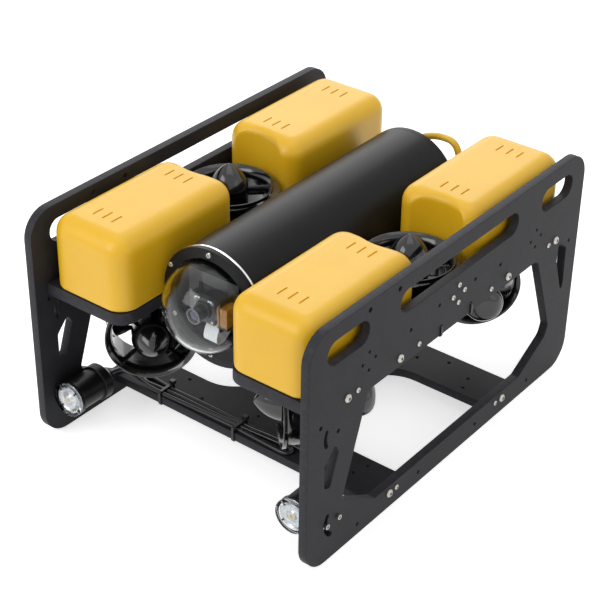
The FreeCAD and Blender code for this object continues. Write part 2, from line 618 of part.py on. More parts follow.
def motor():
    core = Part.makeCylinder(HUB_R - 3.0, HUB_BACK - 2, at_s(0, HUB_BACK))
    return core.fuse(Part.makeCylinder(SHAFT_R, 45, at_s(0, HUB_BACK + 44))).removeSplitter()


def nose_cone():
    points = [
        [at_s(0, 1.0)],
        [at_s(HUB_R, 1.0)],
        [at_s(HUB_R - 5.0, -10.5), at_s(1.2, -NOSE + 0.4)],
        [at_s(0, -NOSE)],
        [at_s(0, 1.0)],
    ]
    cone = revolved(path_edges(points))
    return cone.fuse(Part.makeCylinder(HUB_R - 3.0, 1.0, at_s(0, 2.0))).removeSplitter()


def blade_section(radius, chord, thickness, pitch):
    # thin aerofoil in the plane across the blade
    turn = math.radians(pitch)

    def point(a, b):
        return vec(radius, a * math.cos(turn) - b * math.sin(turn),
                   -BLADE_S + a * math.sin(turn) + b * math.cos(turn))

    upper = Part.Arc(point(-chord / 2, 0), point(0, thickness * 0.8), point(chord / 2, 0))
    lower = Part.Arc(point(chord / 2, 0), point(0, -thickness * 0.2), point(-chord / 2, 0))
    return Part.Wire([upper.toShape(), lower.toShape()])


def propeller():
    front = HUB_BACK + FIT_GAP
    points = [
        [at_s(SHAFT_R + SHAFT_PLAY, front)],
        [at_s(HUB_R, front)],
        [at_s(HUB_R, TAIL_S)],
        [at_s(HUB_R * 0.76, TAIL_END - 3.2), at_s(HUB_R * 0.3, TAIL_END)],
        [at_s(0, TAIL_END)],
        [at_s(0, HUB_BACK + 45)],
        [at_s(SHAFT_R + SHAFT_PLAY, HUB_BACK + 45)],
        [at_s(SHAFT_R + SHAFT_PLAY, front)],
    ]
    screw = revolved(path_edges(points))
    sections = [blade_section(HUB_R - 1.0, 19, 2.6, 46), blade_section(29, 24, 2.0, 34),
                blade_section(BORE_R + 2, 25, 1.4, 25)]
    blade = Part.makeLoft(sections, True, False)
    blade = blade.common(Part.makeCylinder(BORE_R - TIP_GAP, 60, at_s(0, 60)))
    for k in range(BLADES):
        turned = blade.copy()
        turned.rotate(vec(0, 0, 0), vec(0, 0, 1), 20 + 360 / BLADES * k)
        screw = screw.fuse(turned)
    return screw.removeSplitter()


def mounted(shape, lip, inlet, pad):
    copy = shape.copy()
    rotation = FreeCAD.Rotation(pad, inlet.cross(pad), inlet, "ZXY")
    copy.Placement = FreeCAD.Placement(lip, rotation)
    return copy


ANGLE = math.sqrt(0.5)
stations = [
    ("front", vec(VECTOR_X, -VECTOR_Y, VECTOR_Z), vec(-ANGLE, -ANGLE, 0), vec(0, 0, 1),
     SHELF_Z - VECTOR_Z),
    ("vertical", vec(VERTICAL_X, 0, VERTICAL_Z), vec(0, 0, 1), vec(1, 0, 0), PANEL_IN - VERTICAL_X),
    ("rear", vec(AFT_X, AFT_Y, VECTOR_Z), vec(-ANGLE, ANGLE, 0), vec(0, 0, 1), SHELF_Z - VECTOR_Z),
]
nose_cones = []
for name, lip, inlet, pad, reach in stations:
    casing = mounted(nozzle(reach), lip, inlet, pad)
    core = mounted(motor(), lip, inlet, pad)
    screw = mounted(propeller(), lip, inlet, pad)
    cone = mounted(nose_cone(), lip, inlet, pad)
    save(name + "_thruster_port_nozzle", casing)
    save(name + "_thruster_starboard_nozzle", both_sides(casing))
    save(name + "_thruster_port_motor", core)
    save(name + "_thruster_starboard_motor", both_sides(core))
    save(name + "_thruster_port_propeller", screw)
    save(name + "_thruster_starboard_propeller", both_sides(screw))
    nose_cones += [cone, both_sides(cone)]
save("nose_cones", nose_cones)

# ---------------------------------------------------------------- lights


def light_rod(radius, y0, y1):
    return rod(radius, vec(LIGHT_X, y0, LIGHT_Z), vec(LIGHT_X, y1, LIGHT_Z))


COLLAR_Y = LIGHT_FRONT + WINDOW_T
TAIL_Y = LIGHT_FRONT + BODY_L
CONE_Y = TAIL_Y + TAIL_RING_T
GLAND_Y = CONE_Y + TAIL_CONE_L + LIGHT_GLAND_L
light = light_rod(BEZEL_R, COLLAR_Y, COLLAR_Y + COLLAR_T)
light = light.fuse(light_rod(BODY_R, COLLAR_Y + COLLAR_T, TAIL_Y))
light = light.fuse(light_rod(TAIL_RING_R, TAIL_Y, CONE_Y))
light = light.fuse(Part.makeCone(BODY_R, 9, TAIL_CONE_L, vec(LIGHT_X, CONE_Y, LIGHT_Z), BACK))
light = light.fuse(light_rod(5, GLAND_Y - LIGHT_GLAND_L, GLAND_Y))
# reflector bowl behind the clear front
light = light.cut(Part.makeCone(LIGHT_LENS_R, 4, BOWL_DEPTH, vec(LIGHT_X, COLLAR_Y, LIGHT_Z), BACK))
LOCK_Y = PIVOT_Y - ARC_R
lug_edge = rounded([(LOCK_Y - 6, PIVOT_Z - 6, 5.9), (PIVOT_Y + 6, PIVOT_Z - 6, 5.9),
                    (PIVOT_Y + 6, PIVOT_Z + 6, 5.9), (LOCK_Y - 6, PIVOT_Z + 6, 5.9)], in_yz)
lug = plate_x([lug_edge], LIGHT_X + 9, PANEL_IN - SIDE_GAP - LIGHT_X - 9)
light = light.fuse(lug)
tail_trim = block(PANEL_IN - SIDE_GAP, PANEL_IN + 5, TAIL_Y - 2, GLAND_Y - LIGHT_GLAND_L, LIGHT_Z - 20,
                  LIGHT_Z + 20)
light = light.cut(tail_trim)
light_screw = button_screw(4.0, 2.6, LIGHT_SCREW_R, PANEL_T + SIDE_GAP * 2 + 4)
light_screws = []
for y in (PIVOT_Y, LOCK_Y):
    light = light.cut(rod(LIGHT_SCREW_R + 0.1, vec(PANEL_IN - SIDE_GAP - 5, y, PIVOT_Z),
                          vec(PANEL_IN + 1, y, PIVOT_Z)))
    light_screws.append(placed(light_screw, vec(HALF_W + SIDE_GAP, y, PIVOT_Z), OUT))
light = light.removeSplitter()
light_lens = light_rod(BEZEL_R, LIGHT_FRONT, COLLAR_Y)
front_edge = [e for e in light_lens.Edges if e.BoundBox.YMax < LIGHT_FRONT + 0.01]
light_lens = light_lens.makeFillet(WINDOW_EDGE_R, front_edge)
save("light_port", light)
save("light_starboard", both_sides(light))
save("light_lens_port", light_lens)
save("light_lens_starboard", both_sides(light_lens))
save("light_screws_port", light_screws)
save("light_screws_starboard", [both_sides(s) for s in light_screws])

# ---------------------------------------------------------------- cords


def cord(node, route, radius):
    # straight runs joined by tangent arcs
    points = [vec(*p) for p in route]
    edges = []
    start = points[0]
    radii = []
    for i in range(1, len(points) - 1):
        a = points[i - 1] - points[i]
        b = points[i + 1] - points[i]
        half_turn = (math.pi - a.getAngle(b)) / 2
        reach = 0.45 * min(a.Length, b.Length)
        bend = reach / math.tan(half_turn)
        radii.append(round(bend, 1))
        first = points[i] + a.normalize() * reach
        last = points[i] + b.normalize() * reach
        inward = (a + b).normalize()
        centre = points[i] + inward * (bend / math.cos(half_turn))
        middle = centre - inward * bend
        edges.append(Part.LineSegment(start, first).toShape())
        edges.append(Part.Arc(first, middle, last).toShape())
        start = last
    edges.append(Part.LineSegment(start, points[-1]).toShape())
    spine = Part.Wire(edges)
    section = Part.Wire([Part.Circle(points[0], points[1] - points[0], radius).toShape()])
    tube_solid = spine.makePipeShell([section], True, False)
    ratio = tube_solid.Volume / (math.pi * radius ** 2 * spine.Length)
    print(node, "bend radii", radii, "volume ratio", round(ratio, 3))
    save(node, tube_solid)


def on_plate(pairs):
    return [(x, y, LEAD_Z) for x, y in pairs]


LIGHT_END = [(134, -127, 32), (LIGHT_X, -137, LIGHT_Z), (LIGHT_X, GLAND_Y, LIGHT_Z)]
MEET = (TIE_X[1], -120.4)
starboard_route = [(-x, y, z) for x, y, z in reversed(LIGHT_END)]
starboard_route += on_plate([(-114, -123.6), (-68, -121.4), MEET])
port_route = on_plate([MEET, (42, -121.8), (63.5, -122.3), (64, -111.4), (42, -112.6), (0, -115.8),
                       (-50, -116.2), (-92, -116.2), (-111, -117.4), (-131, -118.9), (-131.6, -108),
                       (-111, -109.8), (-92, -111.5), (-50, -109.9), (-2.5, -111.2), (42, -106.6),
                       (88, -107.2), (112, -113.5)])
port_route += LIGHT_END
cord("light_lead_starboard", starboard_route, LEAD_R)
cord("light_lead_port", port_route, LEAD_R)

TETHER_PLANE = TUBE_Y1 + 32.0
GLAND = vec(-12, TUBE_Y1 + CAP_T, TUBE_Z + TUBE_R - 23.5)
GLAND_NUT_L = 5.0
GLAND_L = 8.0
RELIEF = vec(43, TETHER_PLANE, TUBE_Z + 22)
cord("tether", [(GLAND.x, GLAND.y + GLAND_L, GLAND.z), (GLAND.x, TETHER_PLANE, GLAND.z),
                (14, TETHER_PLANE, TUBE_Z + 45.5), (RELIEF.x - 2, TETHER_PLANE, TUBE_Z + 43.5),
                tuple(RELIEF)], TETHER_R)
gland = rod(9, GLAND, GLAND + BACK * GLAND_NUT_L)
gland = gland.fuse(rod(6, GLAND + BACK * GLAND_NUT_L, GLAND + BACK * GLAND_L))
save("tether_gland", gland)
relief = rod(6.5, vec(RELIEF.x, RELIEF.y, SHELF_Z - 4), RELIEF)
relief = relief.fuse(block(RELIEF.x, SHELF_X, TETHER_PLANE - 6, TETHER_PLANE + 1, SHELF_Z + 1,
                           SHELF_Z + 11))
save("tether_strain_relief", relief.removeSplitter())

# ---------------------------------------------------------------- cable ties


def tie_loop(u0, u1, v0, v1, place, width, run):
    outer = rounded([(u0 - TIE_T, v0 - TIE_T, 2.4), (u1 + TIE_T, v0 - TIE_T, 2.4),
                     (u1 + TIE_T, v1 + TIE_T, 2.4), (u0 - TIE_T, v1 + TIE_T, 2.4)], place)
    inner = rounded([(u0, v0, 0.9), (u1, v0, 0.9), (u1, v1, 0.9), (u0, v1, 0.9)], place)
    face = Part.makeFace([outer, inner], "Part::FaceMakerBullseye")
    face.translate(run * (-width / 2))
    return face.extrude(run * width)


ties = []
band_top = LEAD_Z + LEAD_R + FIT_GAP
for x in TIE_X:
    band = tie_loop(-FLOOR_Y1 - FIT_GAP, TIE_SLOT_Y - TIE_T / 2, FLOOR_Z - FIT_GAP, band_top, in_yz,
                    TIE_W, OUT)
    band = band.fuse(block(-2.6, 2.6, TIE_SLOT_Y - 3.4, TIE_SLOT_Y + 1.6, band_top, band_top + 4.5))
    band.translate(vec(x, 0, 0))
    ties.append(band)
for y in RAIL_TIES:
    band = tie_loop(PANEL_IN - FIT_GAP, HALF_W + FIT_GAP, WINDOW_TOP - FIT_GAP, TIE_HOLE_Z - TIE_T / 2,
                    lambda p: vec(p.x, 0, p.y), 2.4, BACK)
    band = band.fuse(block(PANEL_IN - 5, PANEL_IN - FIT_GAP - TIE_T / 2, -2.2, 2.2, WINDOW_TOP + 2,
                           WINDOW_TOP + 6.5))
    band.translate(vec(0, y, 0))
    ties += [band, both_sides(band)]
save("cable_ties", ties)
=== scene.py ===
import json
import math
import bpy
import bmesh
from mathutils import Matrix, Vector


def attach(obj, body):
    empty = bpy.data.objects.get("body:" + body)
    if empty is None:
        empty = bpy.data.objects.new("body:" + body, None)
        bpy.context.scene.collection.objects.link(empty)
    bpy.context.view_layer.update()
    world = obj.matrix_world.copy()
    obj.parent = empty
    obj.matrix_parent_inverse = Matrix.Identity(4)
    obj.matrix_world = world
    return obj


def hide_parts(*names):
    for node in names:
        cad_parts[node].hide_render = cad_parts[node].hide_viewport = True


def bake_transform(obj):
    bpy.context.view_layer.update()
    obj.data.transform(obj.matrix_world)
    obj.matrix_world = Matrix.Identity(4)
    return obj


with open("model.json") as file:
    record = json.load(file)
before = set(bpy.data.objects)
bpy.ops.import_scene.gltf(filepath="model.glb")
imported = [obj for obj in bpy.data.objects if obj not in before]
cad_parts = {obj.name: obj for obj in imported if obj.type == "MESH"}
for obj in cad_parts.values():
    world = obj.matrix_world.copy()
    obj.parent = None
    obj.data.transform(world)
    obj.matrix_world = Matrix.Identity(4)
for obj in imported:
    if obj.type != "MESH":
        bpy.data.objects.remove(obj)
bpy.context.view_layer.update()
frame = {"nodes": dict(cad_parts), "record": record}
cadNodes = frame["nodes"]
mm = 0.001
print("frame loaded")


# camera
cameraSetup = {
    "place": (840.18, -1108.91, 1001.49), "turn": 37.732, "height": 32.225, "roll": 0.854,
    "lens": 97.26, "sensor": 36.0,
}


def addCamera(setup):
    turn, height, roll = (math.radians(setup[k]) for k in ("turn", "height", "roll"))
    back = Vector((math.sin(turn) * math.cos(height), -math.cos(turn) * math.cos(height), math.sin(height)))
    right = Vector((0, 0, 1)).cross(back).normalized()
    up = back.cross(right)
    tiltedRight = right * math.cos(roll) + up * math.sin(roll)
    tiltedUp = up * math.cos(roll) - right * math.sin(roll)
    data = bpy.data.cameras.new("studioCamera")
    data.lens = setup["lens"]
    data.sensor_width = setup["sensor"]
    data.sensor_fit = "HORIZONTAL"
    data.clip_end = 20
    camera = bpy.data.objects.new("studioCamera", data)
    bpy.context.scene.collection.objects.link(camera)
    camera.matrix_world = Matrix.Translation(Vector(setup["place"]) * mm) @ Matrix(
        (tiltedRight, tiltedUp, back)).transposed().to_4x4()
    bpy.context.scene.camera = camera


addCamera(cameraSetup)
bpy.context.scene.view_settings.view_transform = "Standard"


# small tools
def toLinear(hexColour):
    channels = [int(hexColour[i:i + 2], 16) / 255 for i in (1, 3, 5)]
    return [c / 12.92 if c <= 0.04045 else ((c + 0.055) / 1.055) ** 2.4 for c in channels] + [1.0]


def addNode(tree, kind, settings=None, links=None):
    node = tree.nodes.new(kind)
    for key, value in (settings or {}).items():
        if isinstance(key, str) and hasattr(node, key):
            setattr(node, key, value)
        else:
            node.inputs[key].default_value = value
    for key, socket in (links or {}).items():
        tree.links.new(socket, node.inputs[key])
    return node


def startMaterial(name, shaderSettings):
    material = bpy.data.materials.new(name)
    material.use_nodes = True
    tree = material.node_tree
    tree.nodes.clear()
    shader = addNode(tree, "ShaderNodeBsdfPrincipled", shaderSettings)
    addNode(tree, "ShaderNodeOutputMaterial", links={"Surface": shader.outputs[0]})
    where = addNode(tree, "ShaderNodeTexCoord").outputs["Object"]
    return material, tree, shader, where


def mottle(tree, shader, where, first, second, size):
    # two close shades drifting over the surface, size in millimetres
    noise = addNode(tree, "ShaderNodeTexNoise", {"Scale": 1000 / size, "Detail": 4.0, "Roughness": 0.6},
                    {"Vector": where})
    ramp = addNode(tree, "ShaderNodeValToRGB", links={"Fac": noise.outputs["Fac"]})
    for element, place, colour in zip(ramp.color_ramp.elements, (0.35, 0.65), (first, second)):
        element.position = place
        element.color = toLinear(colour)
    tree.links.new(ramp.outputs["Color"], shader.inputs["Base Color"])


def grain(tree, shader, where, size, depth, detail=3.0, stretch=None):
    # fine relief, size and depth in millimetres
    source = where
    if stretch:
        source = addNode(tree, "ShaderNodeMapping", {"Scale": stretch}, {"Vector": where}).outputs["Vector"]
    noise = addNode(tree, "ShaderNodeTexNoise", {"Scale": 1000 / size, "Detail": detail},
                    {"Vector": source})
    bump = addNode(tree, "ShaderNodeBump", {"Strength": 1.0, "Distance": depth * mm},
                   {"Height": noise.outputs["Fac"]})
    tree.links.new(bump.outputs["Normal"], shader.inputs["Normal"])
    return noise


def varyRoughness(tree, shader, source, low, high):
    spread = addNode(tree, "ShaderNodeMapRange",
                     {"From Min": 0.3, "From Max": 0.7, "To Min": low, "To Max": high}, {"Value": source})
    tree.links.new(spread.outputs["Result"], shader.inputs["Roughness"])


# polyester flat cable: white film with the grey shadow of its conductors
def makeRibbon():
    material, tree, shader, where = startMaterial("flatCableFilm", {"Roughness": 0.35, "IOR": 1.5})
    bars = addNode(tree, "ShaderNodeTexWave", {"Scale": 160.0, "Distortion": 0.0}, {"Vector": where})
    ramp = addNode(tree, "ShaderNodeValToRGB", links={"Fac": bars.outputs["Fac"]})
    ramp.color_ramp.elements[0].color = toLinear("#C9CDD1")
    ramp.color_ramp.elements[1].color = toLinear("#F2F3F2")
    tree.links.new(ramp.outputs["Color"], shader.inputs["Base Color"])
    grain(tree, shader, where, 2.0, 0.03)
    return material


def makeAcrylic():
    material, tree, shader, where = startMaterial(
        "clearAcrylic", {"Roughness": 0.02, "IOR": 1.3, "Transmission Weight": 1.0,
                         "Base Color": toLinear("#F6F8F9")})
    grain(tree, shader, where, 30.0, 0.04, 1.0)
    return material


def makeFinish(name, settings, shades, patch, relief=None, spread=None):
    # shades drift in patches of so many millimetres; relief is (size, depth, detail, stretch)
    material, tree, shader, where = startMaterial(name, settings)
    mottle(tree, shader, where, *shades, patch)
    if relief:
        fine = grain(tree, shader, where, *relief)
        if spread:
            varyRoughness(tree, shader, fine.outputs["Fac"], *spread)
    return material


# where the real grain is too fine to show, as in blasting, turning and moulding marks of about
# 0.1 mm, the relief is drawn at 0.4 to 0.9 mm so that it shows
finish = {
    # HDPE sheet, router cut: matt waxy faces with a fine pebble grain
    "sheet": makeFinish("hdpeSheet", {"Roughness": 0.5, "IOR": 1.5, "Specular IOR Level": 0.15},
                        ("#28282B", "#2D2D30"), 30, (0.9, 0.05), (0.46, 0.6)),
    # the same sheet at its cut edge: slightly paler, with the cutter's faint ridges
    "edge": makeFinish("hdpeCutEdge", {"Roughness": 0.5, "IOR": 1.5, "Specular IOR Level": 0.15},
                       ("#2C2C30", "#35353A"), 6, (0.8, 0.06, 2.0, (0.08, 1.0, 1.0))),
    # polyurethane float shell, moulded: satin yellow with a faint orange peel
    "float": makeFinish("mouldedFloatShell",
                        {"Roughness": 0.42, "IOR": 1.5, "Coat Weight": 0.3, "Coat Roughness": 0.42},
                        ("#E9B50F", "#EDBA18"), 55, (3.2, 0.035, 5.0), (0.38, 0.48)),
    # aluminium, bead blasted and black anodised: graphite with a broad soft sheen
    "anodised": makeFinish("blackAnodisedAluminium",
                           {"Roughness": 0.34, "IOR": 1.45, "Specular IOR Level": 0.18},
                           ("#111113", "#151517"), 25, (0.6, 0.02), (0.3, 0.38)),
    # aluminium, turned and polished: the bare bright edge of the flange
    "polished": makeFinish("polishedAluminium", {"Roughness": 0.16, "Metallic": 1.0},
                           ("#D9DADC", "#ECEDEE"), 4, (0.5, 0.01, 2.0)),
    # glass filled polycarbonate, injection moulded: deep gloss black
    "gloss": makeFinish("glossBlackMoulding",
                        {"Roughness": 0.14, "IOR": 1.55, "Coat Weight": 0.3, "Coat Roughness": 0.06},
                        ("#0C0C0D", "#111113"), 20, (7.0, 0.05, 1.0), (0.1, 0.2)),
    # nylon, injection moulded: dull black of ties, glands and small brackets
    "nylon": makeFinish("blackNylon", {"Roughness": 0.4, "IOR": 1.53},
                        ("#141415", "#1B1B1D"), 8, (0.7, 0.03)),
    # stainless steel, cold headed: bright with fine turning marks
    "steel": makeFinish("stainlessSteel", {"Roughness": 0.24, "Metallic": 1.0},
                        ("#A6A29C", "#C8C4BE"), 1.2, (0.4, 0.015), (0.18, 0.32)),
    # aluminium, turned and dyed grey: the soft bright ring round the camera lens
    "ring": makeFinish("greyAnodisedRing", {"Roughness": 0.3, "Metallic": 1.0},
                       ("#6A6A6E", "#78787C"), 4, (0.5, 0.01, 2.0)),
    # acrylic, thermoformed and polished: water clear; the real index is 1.49 and it is set lower
    # here, because in a white room the real one veils what stands behind the dome
    "acrylic": makeAcrylic(),
    # polyurethane cord jackets, extruded: smooth satin
    "tether": makeFinish("yellowTetherJacket", {"Roughness": 0.38, "IOR": 1.5},
                         ("#DDB02A", "#E8BE3C"), 12, (1.4, 0.03)),
    "lead": makeFinish("blackCordJacket", {"Roughness": 0.32, "IOR": 1.5},
                       ("#121213", "#1A1A1C"), 12, (1.4, 0.03)),
    "ribbon": makeRibbon(),
    # optical glass, ground and coated: near black with a violet bloom
    "lens": makeFinish("coatedLensGlass",
                       {"Roughness": 0.04, "IOR": 1.7, "Coat Weight": 1.0, "Coat Roughness": 0.02,
                        "Coat Tint": toLinear("#B9A8E8")}, ("#07070B", "#101018"), 5),
    # light emitting diode under phosphor silicone: a small deep yellow square
    "diode": makeFinish("phosphorDiode", {"Roughness": 0.3, "IOR": 1.41}, ("#D9B218", "#E8CB3A"), 0.8),
    # ceramic, fired: the chalk white plate under the diode and the small chips
    "ceramic": makeFinish("firedCeramic", {"Roughness": 0.45, "IOR": 1.6}, ("#D8DBDE", "#ECEDEE"), 2),
    # polycarbonate bowl, vacuum metallised: soft silver that spreads the light
    "reflector": makeFinish("metallisedReflector", {"Roughness": 0.3, "Metallic": 0.75},
                            ("#C4C7CA", "#D6D8DA"), 3, (1.2, 0.04), (0.22, 0.4)),
    # glass epoxy board, solder masked: flat black with a slight gloss
    "board": makeFinish("solderMaskedBoard", {"Roughness": 0.3, "IOR": 1.55},
                        ("#101113", "#17191B"), 3, (1.0, 0.02)),
    # polycarbonate servo case, tinted: the brown block of the small servo
    "amber": makeFinish("tintedServoCase", {"Roughness": 0.25, "IOR": 1.58}, ("#8A5A1E", "#A8742C"), 6),
}
slotFinish = {
    "black_sheet_plastic": "sheet", "yellow_float_shell": "float", "anodised_black": "anodised",
    "clear_acrylic": "acrylic", "stainless_steel": "steel", "gloss_black_moulding": "gloss",
    "motor_metal": "anodised", "yellow_cord_jacket": "tether", "black_cord_jacket": "lead",
    "white_ribbon": "ribbon", "black_rubber": "nylon", "black_small_moulding": "nylon",
}
slotOf = {part["node"]: part["material_slot"] for part in frame["record"]["subparts"]}
for nodeName, nodeObject in cadNodes.items():
    nodeObject.data.materials.clear()
    nodeObject.data.materials.append(finish[slotFinish[slotOf[nodeName]]])
print("finishes made")


# mesh tools, sizes in millimetres
def loose(data, name):
    # an object of its own, not yet on a body
    piece = bpy.data.objects.new(name, data)
    bpy.context.scene.collection.objects.link(piece)
    return piece


def finishMesh(mesh, name, materials, body, sharpAngle=35, flat=None):
    # faces of the slot named flat keep their flat shading
    for key in materials:
        if finish[key].name not in mesh.materials:
            mesh.materials.append(finish[key])
    mesh.set_sharp_from_angle(angle=math.radians(sharpAngle))
    for face in mesh.polygons:
        face.use_smooth = face.material_index != flat
    mesh.update()
    piece = loose(mesh, name)
    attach(piece, body)
    return piece


def spinProfile(profile, segments=96, closed=False):
    # bmesh of a profile of (radius, height) turned about Z
    shape = bmesh.new()
    rings = []
    for radius, height in profile:
        if radius < 1e-6:
            rings.append([shape.verts.new((0, 0, height * mm))])
            continue
        rings.append([shape.verts.new((radius * mm * math.cos(2 * math.pi * k / segments),
                                       radius * mm * math.sin(2 * math.pi * k / segments), height * mm))
                      for k in range(segments)])
    pairs = list(zip(rings, rings[1:])) + ([(rings[-1], rings[0])] if closed else [])
    for first, second in pairs:
        for k in range(segments):
            n = (k + 1) % segments
            # a ring of one point closes the shape on its axis
            corners = [first[k % len(first)], first[n % len(first)],
                       second[n % len(second)], second[k % len(second)]]
            unique = list(dict.fromkeys(corners))
            if len(unique) > 2:
                shape.faces.new(unique)
    bmesh.ops.recalc_face_normals(shape, faces=shape.faces)
    return shape


def arc(centreU, centreV, radius, first, last, count=6):
    return [(centreU + radius * math.cos(math.radians(first + (last - first) * k / count)),
             centreV + radius * math.sin(math.radians(first + (last - first) * k / count)))
            for k in range(count + 1)]


def toMesh(shape, name, placement=None):
    if placement is not None:
        shape.transform(placement)
        if placement.determinant() < 0:
            bmesh.ops.reverse_faces(shape, faces=shape.faces)
    mesh = bpy.data.meshes.new(name)
    shape.to_mesh(mesh)
    shape.free()
    return mesh


def alongY(x, z):
    # turns a piece made about Z so that its +Z runs towards -Y
    return Matrix.Translation(Vector((x, 0, z)) * mm) @ Matrix.Rotation(math.radians(90), 4, "X")


mirrorX = Matrix.Diagonal((-1, 1, 1, 1))
mirrorY = Matrix.Diagonal((1, -1, 1, 1))


def block(low, high, rounding=0.4, steps=2):
    shape = bmesh.new()
    bmesh.ops.create_cube(shape, size=1.0)
    low, high = Vector(low) * mm, Vector(high) * mm
    for v in shape.verts:
        v.co = Vector([low[i] + (v.co[i] + 0.5) * (high[i] - low[i]) for i in range(3)])
    if rounding:
        bmesh.ops.bevel(shape, geom=shape.edges[:], offset=rounding * mm, segments=steps, affect="EDGES",
                        profile=0.5)
    return shape


def joined(shapes, name):
    whole = bmesh.new()
    for shape in shapes:
        mesh = toMesh(shape, "part")
        whole.from_mesh(mesh)
        bpy.data.meshes.remove(mesh)
    return toMesh(whole, name)


def evaluated(piece, name):
    # plain mesh of an object with its modifiers, which is then removed
    graph = bpy.context.evaluated_depsgraph_get()
    mesh = bpy.data.meshes.new_from_object(piece.evaluated_get(graph))
    mesh.name = name
    bpy.data.objects.remove(piece)
    return mesh


# cut sheets: outlines with rounded corners (u, v, radius), filled and given a softened edge
def roundedOutline(corners, stepDegrees=7.0):
    points = []
    count = len(corners)
    for i in range(count):
        u, v, r = corners[i]
        here = Vector((u, v))
        a = (Vector(corners[i - 1][:2]) - here).normalized()
        b = (Vector(corners[(i + 1) % count][:2]) - here).normalized()
        half = a.angle(b) / 2
        if r <= 0:
            points.append(here)
            continue
        centre = here + (a + b).normalized() * (r / math.sin(half))
        start = here + a * (r / math.tan(half)) - centre
        end = here + b * (r / math.tan(half)) - centre
        turn = start.angle_signed(end)
        steps = max(3, int(abs(math.degrees(turn)) / stepDegrees))
        for k in range(steps + 1):
            spin = -turn * k / steps
            points.append(centre + Vector((start.x * math.cos(spin) - start.y * math.sin(spin),
                                           start.x * math.sin(spin) + start.y * math.cos(spin))))
    return points


def circleOutline(u, v, radius, count=20):
    angles = [2 * math.pi * k / count for k in range(count)]
    return [Vector((u + radius * math.cos(a), v + radius * math.sin(a))) for a in angles]


def curvedSlot(u, v, midRadius, width, first, last, count=14):
    half = width / 2
    outer = arc(u, v, midRadius + half, first, last, count)
    inner = arc(u, v, midRadius - half, last, first, count)
    lastAngle, firstAngle = math.radians(last), math.radians(first)
    tip = arc(u + midRadius * math.cos(lastAngle), v + midRadius * math.sin(lastAngle), half,
              last, last + 180, 6)
    heel = arc(u + midRadius * math.cos(firstAngle), v + midRadius * math.sin(firstAngle), half,
               first + 180, first + 360, 6)
    return [Vector(p) for p in outer + tip[1:-1] + inner + heel[1:-1]]


def cutSheet(name, outlines, thickness, placement, softening=0.45):
    curve = bpy.data.curves.new(name, "CURVE")
    curve.dimensions = "2D"
    curve.fill_mode = "BOTH"
    curve.extrude = (thickness / 2 - softening) * mm
    curve.bevel_depth = softening * mm
    curve.bevel_resolution = 2
    curve.offset = -softening * mm
    for outline in outlines:
        spline = curve.splines.new("POLY")
        spline.points.add(len(outline) - 1)
        for point, place in zip(spline.points, outline):
            point.co = (place[0] * mm, place[1] * mm, 0, 1)
        spline.use_cyclic_u = True
    mesh = evaluated(loose(curve, name), name)
    shape = bmesh.new()
    shape.from_mesh(mesh)
    bpy.data.meshes.remove(mesh)
    bmesh.ops.remove_doubles(shape, verts=shape.verts, dist=0.01 * mm)
    bmesh.ops.recalc_face_normals(shape, faces=shape.faces)
    for face in shape.faces:
        face.material_index = 0 if abs(face.normal.z) > 0.9 else 1
    return toMesh(shape, name, placement)


frameSizes = {
    "length": 457.0, "height": 256.0, "halfWidth": 170.25, "sheet": 9.3, "corner": 28.0,
    "floorZ": 13.0, "floorT": 9.5, "armIn": 73.5, "armOut": 125.5, "spine": 35.0, "spineR": 45.0,
    "shelfZ": 164.0, "shelfT": 12.7, "shelfX": 62.0, "shelfY": 212.0, "shelfR": 18.0,
    "ductX": 112.0, "recess": 54.5, "screwZ": 170.35, "lowScrewZ": 17.75, "padZ": 194.0, "padHole": 9.6,
    "pivot": (-182.4, 43.1), "slotR": 18.0, "slotW": 5.2,
}
boltRows = {"big": [-173.2, -93.7, 89.7, 180.7], "small": [-157.7, -63.4, 59.4, 167.1],
            "bigLow": [-100.0, 100.0], "smallLow": [-88.0, 88.0]}
# the four screws of each pad stand in a diamond
diamond = [(dy * frameSizes["padHole"], dz * frameSizes["padHole"])
           for dy, dz in [(1, 0), (-1, 0), (0, 1), (0, -1)]]


def panelOutlines(s):
    half = s["length"] / 2
    edge = [(-half, 0, s["corner"]), (half, 0, s["corner"]), (half, s["height"], s["corner"]),
            (-half, s["height"], s["corner"])]
    window = [(-141, 161, 7), (-176.5, 58, 7), (-123, 26, 5), (132.5, 26, 5), (181, 53, 12), (185, 65, 4),
              (148.5, 161, 9)]
    slots = [(-203.5, -143, 215.3, 240.3, 12.3), (-96.5, 101.4, 215.8, 240.3, 12.1),
             (145, 204, 214.5, 240, 12.3)]
    cuts = [edge, window] + [[(a, c, r), (b, c, r), (b, d, r), (a, d, r)] for a, b, c, d, r in slots]
    cuts.append([(-189, 128.5, 3), (-183.5, 118, 3), (-195.2, 84, 3), (-203.6, 87, 3), (-203.6, 113, 6)])
    cuts.append([(190, 164, 3), (206.5, 150, 4), (207.8, 108, 6), (205.5, 95, 2), (200.5, 109, 4),
                 (189.3, 140, 8)])
    outlines = [roundedOutline(c) for c in cuts]
    outlines.append(curvedSlot(s["pivot"][0], s["pivot"][1], s["slotR"], s["slotW"], 150, 234))
    outlines.append(curvedSlot(-185, 141.4, 18.5, 4.4, 155, 205))
    holes = [(-185, 141.4, 2.3), (-210.8, 158.6, 2.3), (-143.3, 247, 2.6), (-99, 247, 2.6)]
    holes += [(y, z, 2.0) for y, z in [
        (-77.7, 192.7), (-31.9, 196.5), (28.8, 196.1), (73.6, 191.2), (211, 156.7), (-150.5, 12.5),
        (-50.5, 12.5), (50.5, 12.5), (150.5, 12.5), (24, 171), (-27, 171)]]
    holes += [(y + dy, z + dz, 1.7) for y, z in [(-142, 193), (139.6, 190.8)] for dy, dz in diamond]
    return outlines + [circleOutline(*h) for h in holes]


